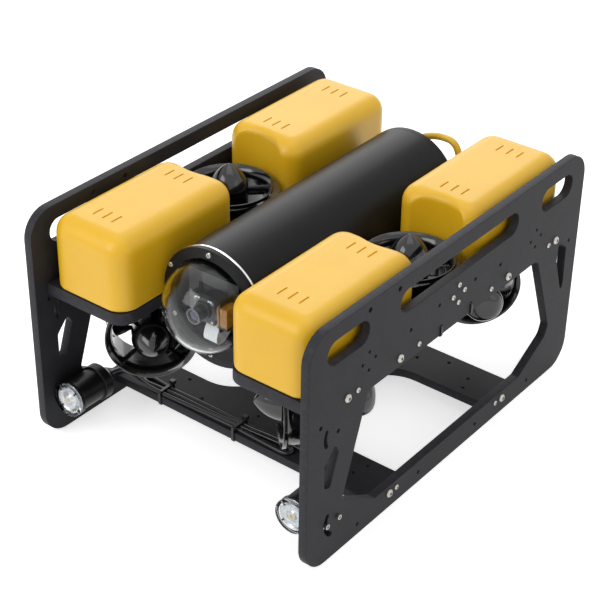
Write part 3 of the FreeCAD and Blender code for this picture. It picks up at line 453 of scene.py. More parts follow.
panelPlace = Matrix(((0, 0, 1, (frameSizes["halfWidth"] - frameSizes["sheet"] / 2) * mm), (1, 0, 0, 0),
                     (0, 1, 0, 0), (0, 0, 0, 1)))
for side, flip in (("port", Matrix()), ("starboard", mirrorX)):
    mesh = cutSheet("sidePanel" + side.title(), panelOutlines(frameSizes), frameSizes["sheet"],
                    flip @ panelPlace)
    piece = finishMesh(mesh, mesh.name, ["sheet", "edge"], "vehicle", 50, 0)
    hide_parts("side_panel_" + side)


def floorOutlines(s):
    x, a, b, r = s["halfWidth"] - s["sheet"], s["armIn"], s["armOut"], s["spineR"]
    edge = [(-x, -b, 0), (x, -b, 0), (x, -a, 0), (s["spine"], -a, r), (s["spine"], a, r), (x, a, 0),
            (x, b, 0), (-x, b, 0), (-x, a, 0), (-s["spine"], a, r), (-s["spine"], -a, r), (-x, -a, 0)]
    holes = [(-64.2, -101.6), (0, -88.5), (64.2, -99.7), (96.5, -113), (-96.5, -84), (133, -84),
             (128.5, -101)]
    outlines = [roundedOutline(edge)]
    outlines += [circleOutline(hx, sign * hy, 1.8) for hx, hy in holes for sign in (1, -1)]
    outlines += [roundedOutline([(tx - 1.9, -106.1, 0.5), (tx + 1.9, -106.1, 0.5), (tx + 1.9, -103.9, 0.5),
                                 (tx - 1.9, -103.9, 0.5)]) for tx in (-100.5, -2.5)]
    return outlines


mesh = cutSheet("floorPlate", floorOutlines(frameSizes), frameSizes["floorT"],
                Matrix.Translation((0, 0, (frameSizes["floorZ"] + frameSizes["floorT"] / 2) * mm)))
piece = finishMesh(mesh, "floorPlate", ["sheet", "edge"], "vehicle", 50, 0)
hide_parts("floor_plate")


def shelfOutline(s):
    x1, y0, y1 = s["halfWidth"] - s["sheet"], 44.5, s["shelfY"]
    edge = roundedOutline([(s["shelfX"], -y1, s["shelfR"]), (x1, -y1, 0), (x1, -y0, 0),
                           (s["shelfX"], -y0, 10)])
    reach = math.acos(y0 / s["recess"])
    hollow = [Vector((s["ductX"] + s["recess"] * math.sin(reach * (1 - k / 10)),
                      -s["recess"] * math.cos(reach * (1 - k / 10)))) for k in range(21)]
    keep = [p for p in edge if not (p.y > -y0 - 0.01 and p.x > s["ductX"])]
    corner = Vector((x1, -y1))
    start = keep.index(min(keep, key=lambda p: (p - corner).length)) + 1
    return [keep[:start] + [Vector((x1, -y0))] + hollow + keep[start:]]


for end, flipY in (("front", Matrix()), ("rear", mirrorY)):
    for side, flipX in (("port", Matrix()), ("starboard", mirrorX)):
        lift = Matrix.Translation((0, 0, (frameSizes["shelfZ"] + frameSizes["shelfT"] / 2) * mm))
        mesh = cutSheet("shelf" + end.title() + side.title(), shelfOutline(frameSizes),
                        frameSizes["shelfT"], flipX @ flipY @ lift)
        piece = finishMesh(mesh, mesh.name, ["sheet", "edge"], "vehicle", 50, 0)
        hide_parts(f"shelf_{end}_{side}")
print("cut sheets made")


# moulded floats
floatSizes = {
    "x": (62.0, 156.0), "y": (-211.5, -44.5), "z": (177.2, 254.0), "corner": 20.0, "top": 19.4,
    "duct": 112.0, "recess": 54.5, "flare": 8.5, "grooves": [(98.8, 110.8, 122.8), (-76.0, -176.0)],
    "groove": (14.0, 2.0, 1.5), "voxel": 1.3, "softening": 9,
}


def makeFloat(s):
    shape = bmesh.new()
    bmesh.ops.create_cube(shape, size=1.0)
    for v in shape.verts:
        for i, (a, b) in enumerate((s["x"], s["y"], s["z"])):
            v.co[i] = (a + (v.co[i] + 0.5) * (b - a)) * mm
    upright = [e for e in shape.edges if abs(e.verts[0].co.z - e.verts[1].co.z) > 0.01]
    bmesh.ops.bevel(shape, geom=upright, offset=s["corner"] * mm, segments=14, affect="EDGES", profile=0.5)
    top = [e for e in shape.edges if min(v.co.z for v in e.verts) > s["z"][1] * mm - 1e-6]
    bmesh.ops.bevel(shape, geom=top, offset=s["top"] * mm, segments=14, affect="EDGES", profile=0.5)
    body = loose(toMesh(shape, "floatBlank"), "floatBlank")
    wallTop = s["z"][1] - s["flare"]
    profile = [(0, s["z"][0] - 6), (s["recess"], s["z"][0] - 6), (s["recess"], wallTop)]
    profile += arc(s["recess"] + s["flare"], wallTop, s["flare"], 180, 90, 10)[1:]
    profile += [(s["recess"] + s["flare"], s["z"][1] + 3), (0, s["z"][1] + 3)]
    cutter = loose(toMesh(spinProfile(profile, 160), "recessCutter",
                          Matrix.Translation((s["duct"] * mm, 0, 0))), "recessCutter")
    cut = body.modifiers.new("recess", "BOOLEAN")
    cut.object = cutter
    cut.operation = "DIFFERENCE"
    remesh = body.modifiers.new("remesh", "REMESH")
    remesh.mode = "VOXEL"
    remesh.voxel_size = s["voxel"] * mm
    soften = body.modifiers.new("soften", "SMOOTH")
    soften.factor = 0.5
    soften.iterations = s["softening"]
    mesh = evaluated(body, "floatBody")
    bpy.data.objects.remove(cutter)
    body = loose(mesh, "floatBody")
    length, width, depth = s["groove"]
    keys = joined([block((x - width / 2, y - length / 2, s["z"][1] - depth),
                         (x + width / 2, y + length / 2, s["z"][1] + 3), 0.5)
                   for x in s["grooves"][0] for y in s["grooves"][1]], "grooveCutters")
    keys = loose(keys, "grooveCutters")
    cut = body.modifiers.new("grooves", "BOOLEAN")
    cut.object = keys
    cut.operation = "DIFFERENCE"
    mesh = evaluated(body, "floatShell")
    bpy.data.objects.remove(keys)
    return mesh


floatMesh = makeFloat(floatSizes)
for end, flipY in (("front", Matrix()), ("rear", mirrorY)):
    for side, flipX in (("port", Matrix()), ("starboard", mirrorX)):
        mesh = floatMesh.copy()
        mesh.name = "float" + end.title() + side.title()
        mesh.transform(flipX @ flipY)
        if (flipX @ flipY).determinant() < 0:
            mesh.flip_normals()
        mesh.materials.clear()
        piece = finishMesh(mesh, mesh.name, ["float"], "vehicle", 40)
        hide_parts(f"float_{end}_{side}")
print("floats made")


# screws: one shape set on marked points by Geometry Nodes
# each kind is (head radius, head height, socket radius, domed)
screwSizes = {
    "bolt": (4.4, 3.0, 1.9, True), "screw": (2.8, 1.8, 1.2, True), "ring": (2.6, 2.6, 1.4, False),
    "light": (2.7, 2.8, 1.4, False), "ringR": 54.4, "ringY": -158.0, "ringZ": 190.0, "lightX": 170.55,
    "seed": 3,
}


def screwShape(headR, headH, socketR, domed):
    if domed:
        profile = [(0, 0), (headR, 0), (headR, headH * 0.25)]
        profile += [(headR * math.cos(math.radians(a)), headH * (0.25 + 0.75 * math.sin(math.radians(a))))
                    for a in (20, 40, 58, 70)]
        profile += [(socketR * 1.05, headH), (socketR * 0.95, headH * 0.94),
                    (socketR * 0.95, headH * 0.45), (0, headH * 0.4)]
    else:
        profile = [(0, 0), (headR, 0), (headR, headH - 0.35), (headR - 0.35, headH), (socketR * 1.1, headH),
                   (socketR, headH - 0.15), (socketR, headH * 0.45), (0, headH * 0.4)]
    return spinProfile(profile, 18)


def makeScrewTree():
    tree = bpy.data.node_groups.new("screwsOnPoints", "GeometryNodeTree")
    for name, kind in (("Geometry", "Geometry"), ("Screw", "Object"), ("Size", "Float"),
                       ("Finish", "Material"), ("Seed", "Int")):
        tree.interface.new_socket(name, in_out="INPUT", socket_type="NodeSocket" + kind)
    tree.interface.new_socket("Geometry", in_out="OUTPUT", socket_type="NodeSocketGeometry")
    entry = addNode(tree, "NodeGroupInput")
    outward = addNode(tree, "GeometryNodeInputNamedAttribute",
                      {"data_type": "FLOAT_VECTOR", "Name": "outward"})
    turned = addNode(tree, "FunctionNodeAlignRotationToVector", {"axis": "Z"},
                     {"Vector": outward.outputs["Attribute"]})
    # every socket stops at its own angle
    stop = addNode(tree, "FunctionNodeRandomValue", {"data_type": "FLOAT", 3: 6.283},
                   {"Seed": entry.outputs["Seed"]})
    spin = addNode(tree, "ShaderNodeCombineXYZ", links={"Z": stop.outputs[1]})
    spun = addNode(tree, "FunctionNodeRotateRotation", {"rotation_space": "LOCAL"},
                   {"Rotation": turned.outputs["Rotation"], "Rotate By": spin.outputs[0]})
    shape = addNode(tree, "GeometryNodeObjectInfo", links={"Object": entry.outputs["Screw"]})
    placed = addNode(tree, "GeometryNodeInstanceOnPoints", links={
        "Points": entry.outputs["Geometry"], "Instance": shape.outputs["Geometry"],
        "Rotation": spun.outputs["Rotation"], "Scale": entry.outputs["Size"]})
    solid = addNode(tree, "GeometryNodeRealizeInstances", links={"Geometry": placed.outputs["Instances"]})
    dressed = addNode(tree, "GeometryNodeSetMaterial", links={
        "Geometry": solid.outputs["Geometry"], "Material": entry.outputs["Finish"]})
    addNode(tree, "NodeGroupOutput", links={"Geometry": dressed.outputs["Geometry"]})
    return tree


screwTree = makeScrewTree()


def setScrews(name, kind, places, body, replaced):
    # places are (position, outward direction) in millimetres
    points = bpy.data.meshes.new(name)
    points.from_pydata([Vector(p) * mm for p, _ in places], [], [])
    outward = points.attributes.new("outward", "FLOAT_VECTOR", "POINT")
    for i, (_, direction) in enumerate(places):
        outward.data[i].vector = direction
    holder = loose(points, name)
    pattern = loose(toMesh(screwShape(*screwSizes[kind]), name + "Shape"), name + "Shape")
    modifier = holder.modifiers.new("screws", "NODES")
    modifier.node_group = screwTree
    inputs = {item.name: item.identifier for item in screwTree.interface.items_tree
              if item.in_out == "INPUT"}
    modifier[inputs["Screw"]] = pattern
    modifier[inputs["Size"]] = 1.0
    modifier[inputs["Finish"]] = finish["steel"]
    modifier[inputs["Seed"]] = screwSizes["seed"]
    mesh = evaluated(holder, name)
    bpy.data.objects.remove(pattern)
    piece = finishMesh(mesh, name, [], body, 30)
    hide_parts(replaced)


def bothPanels(rows):
    half = frameSizes["halfWidth"]
    return [((sign * half, y, z), (sign, 0, 0)) for y, z in rows for sign in (1, -1)]


high, low = frameSizes["screwZ"], frameSizes["lowScrewZ"]
bigRows = [(y, high) for y in boltRows["big"]] + [(y, low) for y in boltRows["bigLow"]]
smallRows = [(y, high) for y in boltRows["small"]] + [(y, low) for y in boltRows["smallLow"]]
smallRows += [(dy, frameSizes["padZ"] + dz) for dy, dz in diamond]
setScrews("frameBolts", "bolt", bothPanels(bigRows), "vehicle", "frame_bolts")
setScrews("frameScrews", "screw", bothPanels(smallRows), "vehicle", "frame_screws")
ringAngles = [math.radians(30 + 60 * k) for k in range(6)]
ringPlaces = [((screwSizes["ringR"] * math.cos(a), screwSizes["ringY"],
                screwSizes["ringZ"] + screwSizes["ringR"] * math.sin(a)), (0, -1, 0)) for a in ringAngles]
setScrews("ringScrews", "ring", ringPlaces, "vehicle", "ring_screws")
for side, sign in (("port", 1), ("starboard", -1)):
    pivotY, pivotZ = frameSizes["pivot"]
    lightPlaces = [((sign * screwSizes["lightX"], pivotY - behind, pivotZ), (sign, 0, 0))
                   for behind in (0, frameSizes["slotR"])]
    setScrews("lightScrews" + side.title(), "light", lightPlaces, "light_head_" + side,
              "light_screws_" + side)
print("screws set")


# watertight tube: body, flange with its bare bright rim, ring, rear cap
tubeSizes = {"z": 190.0, "radius": 57.5, "wall": 4.0, "front": -150.0, "rear": 160.0, "cap": 6.0,
             "flangeR": 58.4, "flangeT": 3.5, "ringT": 4.5, "opening": 47.3}


def turnedAlongTube(profile, segments=128, closed=True):
    # profile of (radius, y)
    shape = spinProfile([(r, -y) for r, y in profile], segments, closed)
    shape.transform(alongY(0, tubeSizes["z"]))
    return shape


def makeTube(s):
    r, w, a, b = s["radius"], s["wall"], s["front"], s["rear"]
    body = [(r - w, a), (r - 0.4, a), (r, a + 0.4), (r, b - 0.3), (r - 0.3, b), (r - w, b)]
    piece = finishMesh(toMesh(turnedAlongTube(body), "mainTube"), "mainTube", ["anodised"], "vehicle")
    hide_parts("main_tube")
    f, y0, y1 = s["flangeR"], a - s["flangeT"], a
    flange = [(44, y0), (f - 1.4, y0), (f - 1.4, y1 - 2.2), (f - 0.5, y1 - 2.2), (f, y1 - 1.8),
              (f, y1 - 0.5), (f - 0.5, y1), (53.4, y1), (53.4, y1 + 14), (44, y1 + 14)]
    mesh = toMesh(turnedAlongTube(flange), "frontFlange")
    for key in ("anodised", "polished"):
        mesh.materials.append(finish[key])
    for face in mesh.polygons:
        across = math.hypot(face.center.x, face.center.z - s["z"] * mm)
        if across > (f - 0.8) * mm:
            face.material_index = 1
    piece = finishMesh(mesh, "frontFlange", [], "vehicle")
    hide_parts("front_flange")
    o, y0, y1 = s["opening"], a - s["flangeT"] - s["ringT"], a - s["flangeT"]
    ring = [(o, y0 + 0.5), (o + 0.5, y0), (f - 0.6, y0), (f, y0 + 0.6), (f, y1 - 0.2), (f - 0.2, y1),
            (o + 3.4, y1), (o + 3.4, y1 - 3.1), (o, y1 - 3.1)]
    piece = finishMesh(toMesh(turnedAlongTube(ring), "domeRing"), "domeRing", ["anodised"], "vehicle")
    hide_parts("dome_retaining_ring")
    cap = [(0, b - 2), (47.5, b - 2), (47.5, b - 14), (53.4, b - 14), (53.4, b), (r - 0.3, b), (r, b + 0.3),
           (r, b + s["cap"] - 0.8), (r - 0.8, b + s["cap"]), (0, b + s["cap"])]
    mesh = toMesh(turnedAlongTube(cap, closed=False), "rearCap")
    piece = finishMesh(mesh, "rearCap", ["anodised"], "vehicle")
    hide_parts("rear_end_cap")


makeTube(tubeSizes)


# dome: one closed shell of clear acrylic with its clamped lip
domeSizes = {"radius": 47.0, "wall": 3.0, "centre": -156.5, "lip": 50.5, "base": -153.5}


def makeDome(s):
    outer = [(p[0], -p[1]) for p in arc(0, 0, s["radius"], 0.5, 90, 40)]
    inner = [(p[0], -p[1]) for p in arc(0, 0, s["radius"] - s["wall"], 90, 0.5, 40)]
    profile = [(s["lip"], s["base"]), (s["lip"], s["centre"])]
    profile += [(max(0.0, r), s["centre"] + y) for r, y in outer[:-1]] + [(0, s["centre"] - s["radius"])]
    profile += [(0, s["centre"] - s["radius"] + s["wall"])] + [(r, s["centre"] + y) for r, y in inner[1:]]
    profile += [(s["radius"] - s["wall"], s["base"]), (s["lip"], s["base"])]
    shape = turnedAlongTube(profile, 128, False)
    bmesh.ops.remove_doubles(shape, verts=shape.verts, dist=0.005 * mm)
    axis = [e for e in shape.edges if e.is_wire]
    bmesh.ops.delete(shape, geom=axis, context="EDGES")
    bmesh.ops.recalc_face_normals(shape, faces=shape.faces)
    piece = finishMesh(toMesh(shape, "clearDome"), "clearDome", ["acrylic"], "vehicle")
    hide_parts("dome")


makeDome(domeSizes)
print("tube and dome made")


# lights: body with its reflector bowl, diode and clear front
lightSizes = {
    "x": 141.9, "z": 48.4, "front": -217.0, "window": 7.0, "edge": 2.2, "bezel": 18.0, "body": 16.5,
    "collar": 4.0, "tailRing": 18.6, "tail": (-178.0, -168.0), "tailScrewR": 12.4, "gland": -156.0,
    "bowl": 14.5, "plate": 4.2, "catchR": 13.0, "glass": 3.0, "lug": (150.9, 160.65),
}


def turnedAt(x, z, profile, segments=72):
    # profile of (radius, y) turned about a line along Y
    shape = spinProfile([(r, -y) for r, y in profile], segments)
    shape.transform(alongY(x, z))
    return shape


def paint(shape, index, test=lambda face: True):
    for face in shape.faces:
        if test(face):
            face.material_index = index
    return shape


def makeLight(s, side, flip):
    x, z, y0 = s["x"], s["z"], s["front"]
    back = y0 + s["window"]
    ringEnd = back + s["collar"]
    a, b = s["tail"]
    bowlR = s["bowl"]
    face = y0 + s["plate"]
    bowl = [(0, face), (4.2, face), (4.5, face + 0.3), (5.6, face + 1.6), (7.6, face + 2.2),
            (9.8, face + 1.9), (11.6, face + 1.0), (12.9, face - 0.2), (13.4, face - 0.2),
            (13.6, back - 0.1)]
    rim, wide, tail, end = s["bezel"], s["body"], s["tailRing"], s["gland"]
    outer = [(bowlR + 0.3, back - 0.1), (bowlR + 0.3, back), (rim - 0.3, back), (rim, back + 0.3),
             (rim, ringEnd - 1.2), (rim - 0.5, ringEnd - 0.4), (wide + 0.2, ringEnd - 0.1),
             (wide, ringEnd + 0.4), (wide, a - 0.3), (tail - 0.5, a), (tail, a + 0.5), (tail, b - 0.6),
             (tail - 0.6, b), (wide - 0.4, b + 0.1), (9.4, b + 7.6), (8.8, b + 8), (6.6, b + 8),
             (6.6, b + 8.6), (6.2, end - 0.6), (5.2, end), (0, end)]
    body = turnedAt(x, z, bowl + outer)

    def inBowl(spot):
        across = math.hypot(spot.x - x * mm, spot.z - z * mm)
        return across < (bowlR + 0.2) * mm and spot.y < (back + 0.1) * mm

    paint(body, 1, lambda f: inBowl(f.calc_center_median()))
    shapes = [body]
    for k in range(4):
        # dark catches round the rim of the bowl
        turn = math.radians(48 + 90 * k)
        catch = block((-1.3, -0.8, -0.5), (1.3, 0.8, 0.9), 0.2)
        outwards = Matrix.Translation(Vector((s["catchR"], 0, 0)) * mm)
        outwards = outwards @ Matrix.Rotation(math.radians(90), 4, "X")
        catch.transform(Matrix.Translation(Vector((x, face + 0.2, z)) * mm)
                        @ Matrix.Rotation(turn, 4, "Y") @ outwards)
        shapes.append(catch)
    for k in range(4):
        turn = math.radians(30 + 90 * k)
        head = turnedAt(x + s["tailScrewR"] * math.cos(turn), z + s["tailScrewR"] * math.sin(turn),
                        [(0, b - 0.6), (1.5, b - 0.6), (1.5, b + 1.0), (1.2, b + 1.4), (0.7, b + 1.4),
                         (0.6, b + 0.9), (0, b + 0.9)], 14)
        shapes.append(paint(head, 4))
    plate = turnedAt(x, z, [(0, face + 0.2), (3.9, face + 0.2), (3.9, face - 0.15), (3.7, face - 0.25),
                            (0, face - 0.25)], 40)
    shapes.append(paint(plate, 2))
    chip = block((x - 1.8, face - 0.7, z - 1.8), (x + 1.8, face - 0.2, z + 1.8), 0.2)
    shapes.append(paint(chip, 3))
    mesh = joined(shapes, "light" + side.title())
    lockY = frameSizes["pivot"][0] - frameSizes["slotR"]
    pivotY, pivotZ = frameSizes["pivot"]
    lug = cutSheet("lug", [roundedOutline([(lockY - 6, pivotZ - 6, 5.9), (pivotY + 6, pivotZ - 6, 5.9),
                                           (pivotY + 6, pivotZ + 6, 5.9), (lockY - 6, pivotZ + 6, 5.9)])],
                   s["lug"][1] - s["lug"][0],
                   Matrix(((0, 0, 1, (s["lug"][0] + s["lug"][1]) / 2 * mm), (1, 0, 0, 0), (0, 1, 0, 0),
                           (0, 0, 0, 1))), 0.5)
    shape = bmesh.new()
    shape.from_mesh(lug)
    paint(shape, 0)
    shape.from_mesh(mesh)
    bpy.data.meshes.remove(lug)
    bpy.data.meshes.remove(mesh)
    mesh = toMesh(shape, "light" + side.title(), flip)
    piece = finishMesh(mesh, mesh.name, ["anodised", "reflector", "ceramic", "diode", "steel"],
                       "light_head_" + side)
    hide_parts("light_" + side)
    r, g = s["bezel"], s["glass"]
    window = [(0, y0)] + arc(r - s["edge"], y0 + s["edge"], s["edge"], 270, 360, 6)
    window += [(r, back - 0.1), (r - 0.2, back), (bowlR + 0.1, back), (bowlR - 0.2, y0 + g + 0.7),
               (bowlR - 0.9, y0 + g), (0, y0 + g)]
    piece = finishMesh(toMesh(turnedAt(x, z, window, 96), "lightWindow" + side.title(), flip),
                       "lightWindow" + side.title(), ["acrylic"], "light_head_" + side)
    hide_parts("light_lens_" + side)


for side, flip in (("port", Matrix()), ("starboard", mirrorX)):
    makeLight(lightSizes, side, flip)
print("lights made")


# camera behind the dome, with its servo
cameraSizes = {"z": 190.0, "tilt": -158.0, "board": (-168.0, -162.0), "half": 13.0, "front": -183.0,
               "barrel": 8.0, "servoX": (17.5, 29.5), "servoY": (-170.0, -154.0)}


def makeCameraPieces(s):
    z, back, y0 = s["z"], s["board"][0], s["front"]
    r = s["barrel"]
    barrel = [(0, y0 + 1.5), (5.4, y0 + 1.5), (6.3, y0 + 0.2), (6.5, y0), (r - 0.3, y0), (r, y0 + 0.3)]
    for k in range(5):
        y = y0 + 1.2 + 0.9 * k
        barrel += [(r, y), (r - 0.35, y + 0.2), (r - 0.35, y + 0.5), (r, y + 0.7)]
    barrel += [(r, y0 + 6), (r - 1, y0 + 6.3), (r - 1, back - 3), (r + 1.3, back - 3),
               (r + 1.5, back - 2.7), (r + 1.5, back), (0, back)]
    shape = turnedAt(0, z, barrel, 64)
    glass = turnedAt(0, z, [(0, y0 + 0.55), (2.0, y0 + 0.65), (4.0, y0 + 1.0), (5.4, y0 + 1.5),
                            (5.4, y0 + 2.0), (0, y0 + 2.0)], 64)
    ring = turnedAt(0, z, [(6.6, y0 + 0.4), (6.8, y0 - 0.15), (r - 0.3, y0 - 0.15), (r + 0.05, y0 + 0.2),
                           (r + 0.05, y0 + 1.1), (r - 0.3, y0 + 1.1)], 64)
    mesh = joined([shape, paint(glass, 1), paint(ring, 2)], "cameraLens")
    piece = finishMesh(mesh, "cameraLens", ["nylon", "lens", "ring"], "camera_head")
    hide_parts("camera_lens")
    h, tilt = s["half"], s["tilt"]
    shapes = [block((-h, back, z - h), (h, s["board"][1], z + h), 0.6)]
    for sign, pin in ((-1, 2.05), (1, 3.05)):
        x0, x1 = sorted((sign * h, sign * (h + 3.5)))
        arm = spinProfile([(pin, 0), (6, 0), (6, 3.5), (pin, 3.5)], 40, True)
        arm.transform(Matrix.Translation(Vector((x0, tilt, z)) * mm)
                      @ Matrix.Rotation(math.radians(90), 4, "Y"))
        shapes += [arm, block((x0, back, z - 5.9), (x1, tilt - 5.0, z + 5.9), 0.5)]
    for u in (-10, 10):
        for v in (-10, 10):
            head = turnedAt(u, z + v, [(0, back - 1.0), (1.0, back - 1.0), (1.6, back - 0.4),
                                       (1.6, back + 0.2), (0, back + 0.2)], 14)
            shapes.append(paint(head, 1))
    for u in (-8.5, -5.5, 6.5, 9.0):
        chip = block((u - 0.9, back - 0.8, z + 11.0), (u + 0.9, back + 0.1, z + 12.3), 0.1)
        shapes.append(paint(chip, 2))
    piece = finishMesh(joined(shapes, "cameraModule"), "cameraModule", ["board", "steel", "ceramic"],
                       "camera_head")
    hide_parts("camera_module")
    x0, x1 = s["servoX"]
    y0, y1 = s["servoY"]
    shapes = [paint(block((x0, y0, z - 9), (x1, y1, z + 11), 0.5), 1),
              block((x0 + 0.1, y0 + 0.1, z - 12), (x1 - 0.1, y1 - 0.1, z - 8.9), 0.5),
              block((x0 + 2, y0, z - 16), (x0 + 4, y1, z + 15), 0.3)]
    pin = spinProfile([(0, 0), (3.0, 0), (3.0, x0 - h), (0, x0 - h)], 32)
    pin.transform(Matrix.Translation(Vector((h, tilt, z)) * mm) @ Matrix.Rotation(math.radians(90), 4, "Y"))
    shapes.append(pin)
    piece = finishMesh(joined(shapes, "tiltServo"), "tiltServo", ["nylon", "amber"], "vehicle")
    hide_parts("tilt_servo")


makeCameraPieces(cameraSizes)
print("camera made")


# cords: NURBS splines over the routes of the part, in metres
def cordLine(name, route):
    curve = bpy.data.curves.new(name, "CURVE")
    curve.dimensions = "3D"
    curve.resolution_u = 10
    spline = curve.splines.new("NURBS")
    spline.points.add(len(route) - 1)
    for point, place in zip(spline.points, route):
        point.co = (*place, 1)
    spline.order_u = 3
    spline.use_endpoint_u = True
    return curve


# radii and spacing in millimetres, the rest in metres; bendFrom and bendTo mark a stretch of each lead near
# its light
cordSizes = {
    "leadR": 2.2, "leadZ": 0.0249, "tetherR": 3.75, "tetherLength": 0.088, "starboardLength": 0.170,
    "portLength": 0.583, "spacing": 0.3, "bendFrom": (0.134, -0.118, 0.026),
    "bendTo": (0.1419, -0.152, 0.0484),
}


def cordPath(name, route):
    mesh = evaluated(loose(cordLine(name, route), name), name)
    points = []
    for v in mesh.vertices:
        if not points or (v.co - points[-1]).length > cordSizes["spacing"] * mm:
            points.append(v.co.copy())
    bpy.data.meshes.remove(mesh)
    return points


def skin(shape, rows):
    # faces from row to row, with both ends closed
    for first, second in zip(rows, rows[1:]):
        for k in range(len(first)):
            n = (k + 1) % len(first)
            shape.faces.new((first[k], first[n], second[n], second[k]))
    shape.faces.new(rows[0])
    shape.faces.new(rows[-1])
    bmesh.ops.recalc_face_normals(shape, faces=shape.faces)
    return shape


def runAt(points, i):
    return (points[min(i + 1, len(points) - 1)] - points[max(i - 1, 0)]).normalized()


def tubeAlong(points, radius, sides=14):
    shape = bmesh.new()
    rows = []
    normal = runAt(points, 0).orthogonal().normalized()
    for i, p in enumerate(points):
        run = runAt(points, i)
        normal = (normal - run * normal.dot(run)).normalized()
        other = run.cross(normal)
        angles = [2 * math.pi * k / sides for k in range(sides)]
        rows.append([shape.verts.new(p + (normal * math.cos(a) + other * math.sin(a)) * radius)
                     for a in angles])
    return skin(shape, rows)


def stripAlong(points, side, width, thickness):
    shape = bmesh.new()
    rows = []
    for i, p in enumerate(points):
        out = runAt(points, i).cross(Vector((1, 0, 0))) * thickness / 2
        rows.append([shape.verts.new(Vector((x, 0, 0)) + p + out * way)
                     for x, way in ((side, 1), (side + width, 1), (side + width, -1), (side, -1))])
    return skin(shape, rows)


lightEnd = [(0.134, -0.127, 0.032), (0.1419, -0.137, 0.0484), (0.1419, -0.156, 0.0484)]
meeting = (-0.0025, -0.1204)
lowLine = cordSizes["leadZ"]
starboardRoute = [(-x, y, z) for x, y, z in reversed(lightEnd)]
starboardRoute += [(x, y, lowLine) for x, y in [(-0.114, -0.1236), (-0.068, -0.1214), meeting]]
portRoute = [(x, y, lowLine) for x, y in [
    meeting, (0.042, -0.1218), (0.0635, -0.1223), (0.064, -0.1114), (0.042, -0.1126), (0, -0.1158),
    (-0.05, -0.1162), (-0.092, -0.1162), (-0.111, -0.1174), (-0.131, -0.1189), (-0.1316, -0.108),
    (-0.111, -0.1098), (-0.092, -0.1115), (-0.05, -0.1099), (-0.0025, -0.1112), (0.042, -0.1066),
    (0.088, -0.1072), (0.112, -0.1135)]] + lightEnd
tetherRoute = [(-0.012, 0.174, 0.224), (-0.012, 0.192, 0.224), (0.014, 0.192, 0.2355),
               (0.041, 0.192, 0.2335), (0.043, 0.192, 0.212)]
for side, route, length in (("starboard", starboardRoute, cordSizes["starboardLength"]),
                            ("port", portRoute, cordSizes["portLength"])):
    points = cordPath("lightLead" + side.title(), route)
    mesh = toMesh(tubeAlong(points, cordSizes["leadR"] * mm), "lightLead" + side.title())
    mesh.materials.append(finish["lead"])
    for face in mesh.polygons:
        face.use_smooth = True
    mesh.set_sharp_from_angle(angle=math.radians(40))
    lead = loose(mesh, mesh.name)
    sign = 1 if side == "port" else -1
    start, end = ((sign * x, y, z) for x, y, z in (cordSizes["bendFrom"], cordSizes["bendTo"]))
    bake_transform(lead)
    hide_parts("light_lead_" + side)


# the flat cable is a strip laid along a bent route between the camera and the tray
ribbonSizes = {"side": 2.0, "width": 16.0, "thickness": 0.8,
               "bendFrom": (0.01, -0.165, 0.177), "bendTo": (0.01, -0.157, 0.161),
               "route": [(0, -165.0, 178.0), (0, -171.5, 169.0), (0, -170.0, 158.5), (0, -157.0, 158.5),
                         (0, -149.0, 168.0)]}
route = [tuple(c * mm for c in place) for place in ribbonSizes["route"]]
strip = stripAlong(cordPath("flatCable", route), ribbonSizes["side"] * mm, ribbonSizes["width"] * mm,
                   ribbonSizes["thickness"] * mm)
mesh = toMesh(strip, "flatCable")
mesh.materials.append(finish["ribbon"])
mesh.set_sharp_from_angle(angle=math.radians(40))
flatCable = loose(mesh, "flatCable")
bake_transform(flatCable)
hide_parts("ribbon_cable")


# the tether's short visible length
curve = cordLine("tetherCord", tetherRoute)
curve.bevel_depth = cordSizes["tetherR"] * mm
curve.bevel_resolution = 6
curve.use_fill_caps = True
curve.materials.append(finish["tether"])
tether = loose(curve, "tetherCord")
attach(tether, "vehicle")
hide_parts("tether")
print("cords laid")


# stage
stageSetup = {
    "floorHalf": 6.0, "floorColour": "#F4F4F4", "floorGlow": 0.62, "worldStrength": 0.56,
    # each lamp is (name, place, aim, size, power), in metres and watts
    "lamps": [("overhead", (0.1, 0.1, 1.9), (0, 0, 0.1), 1.6, 7.0),
              ("backGlow", (-1.2, 1.6, 1.3), (0, 0, 0.2), 1.6, 13.0),
              ("frontFill", (-0.6, -1.8, 1.3), (0, 0.05, 0.15), 1.2, 15.5),
              ("sideFill", (2.1, 0.2, 0.9), (0, 0, 0.12), 1.2, 2.0)],
}


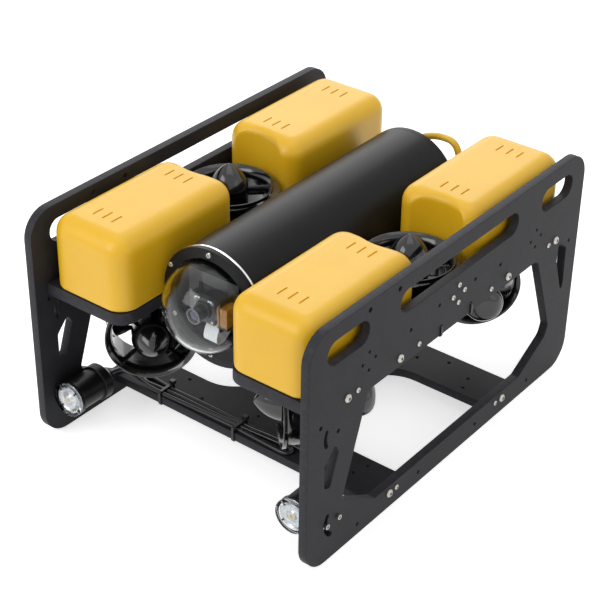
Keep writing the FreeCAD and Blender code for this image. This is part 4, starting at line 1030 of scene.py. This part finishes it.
def seenDirectly(tree):
    # what the camera, a mirror or glass sees, and not what lights the object
    path = addNode(tree, "ShaderNodeLightPath")
    seen = addNode(tree, "ShaderNodeMath", {"operation": "MAXIMUM"},
                   {0: path.outputs["Is Camera Ray"], 1: path.outputs["Is Glossy Ray"]})
    return addNode(tree, "ShaderNodeMath", {"operation": "MAXIMUM"},
                   {0: seen.outputs[0], 1: path.outputs["Is Transmission Ray"]})


def addStage(setup):
    scene = bpy.context.scene
    half = setup["floorHalf"]
    mesh = bpy.data.meshes.new("studioFloor")
    mesh.from_pydata([(-half, -half, 0), (half, -half, 0), (half, half, 0), (-half, half, 0)], [],
                     [(0, 1, 2, 3)])
    floor = loose(mesh, "studioFloor")
    material = bpy.data.materials.new("paperSweep")
    material.use_nodes = True
    tree = material.node_tree
    tree.nodes.clear()
    seen = seenDirectly(tree)
    paper = addNode(tree, "ShaderNodeBsdfDiffuse", {"Color": toLinear(setup["floorColour"])})
    glow = addNode(tree, "ShaderNodeEmission", {"Color": (1, 1, 1, 1), "Strength": setup["floorGlow"]})
    lifted = addNode(tree, "ShaderNodeAddShader", links={0: paper.outputs[0], 1: glow.outputs[0]})
    mix = addNode(tree, "ShaderNodeMixShader",
                  links={0: seen.outputs[0], 1: paper.outputs[0], 2: lifted.outputs[0]})
    addNode(tree, "ShaderNodeOutputMaterial", links={"Surface": mix.outputs[0]})
    mesh.materials.append(material)
    world = bpy.data.worlds.new("studioWorld")
    world.use_nodes = True
    scene.world = world
    tree = world.node_tree
    tree.nodes.clear()
    seen = seenDirectly(tree)
    room = addNode(tree, "ShaderNodeBackground",
                   {"Color": (1, 1, 1, 1), "Strength": setup["worldStrength"]})
    white = addNode(tree, "ShaderNodeBackground", {"Color": (1, 1, 1, 1), "Strength": 1.0})
    mix = addNode(tree, "ShaderNodeMixShader",
                  links={0: seen.outputs[0], 1: room.outputs[0], 2: white.outputs[0]})
    addNode(tree, "ShaderNodeOutputWorld", links={"Surface": mix.outputs[0]})
    for name, place, aim, size, power in setup["lamps"]:
        lamp = bpy.data.lights.new(name, "AREA")
        lamp.size = size
        lamp.energy = power
        holder = loose(lamp, name)
        holder.location = place
        holder.rotation_euler = (Vector(aim) - Vector(place)).to_track_quat("-Z", "Y").to_euler()


addStage(stageSetup)
print("stage set")
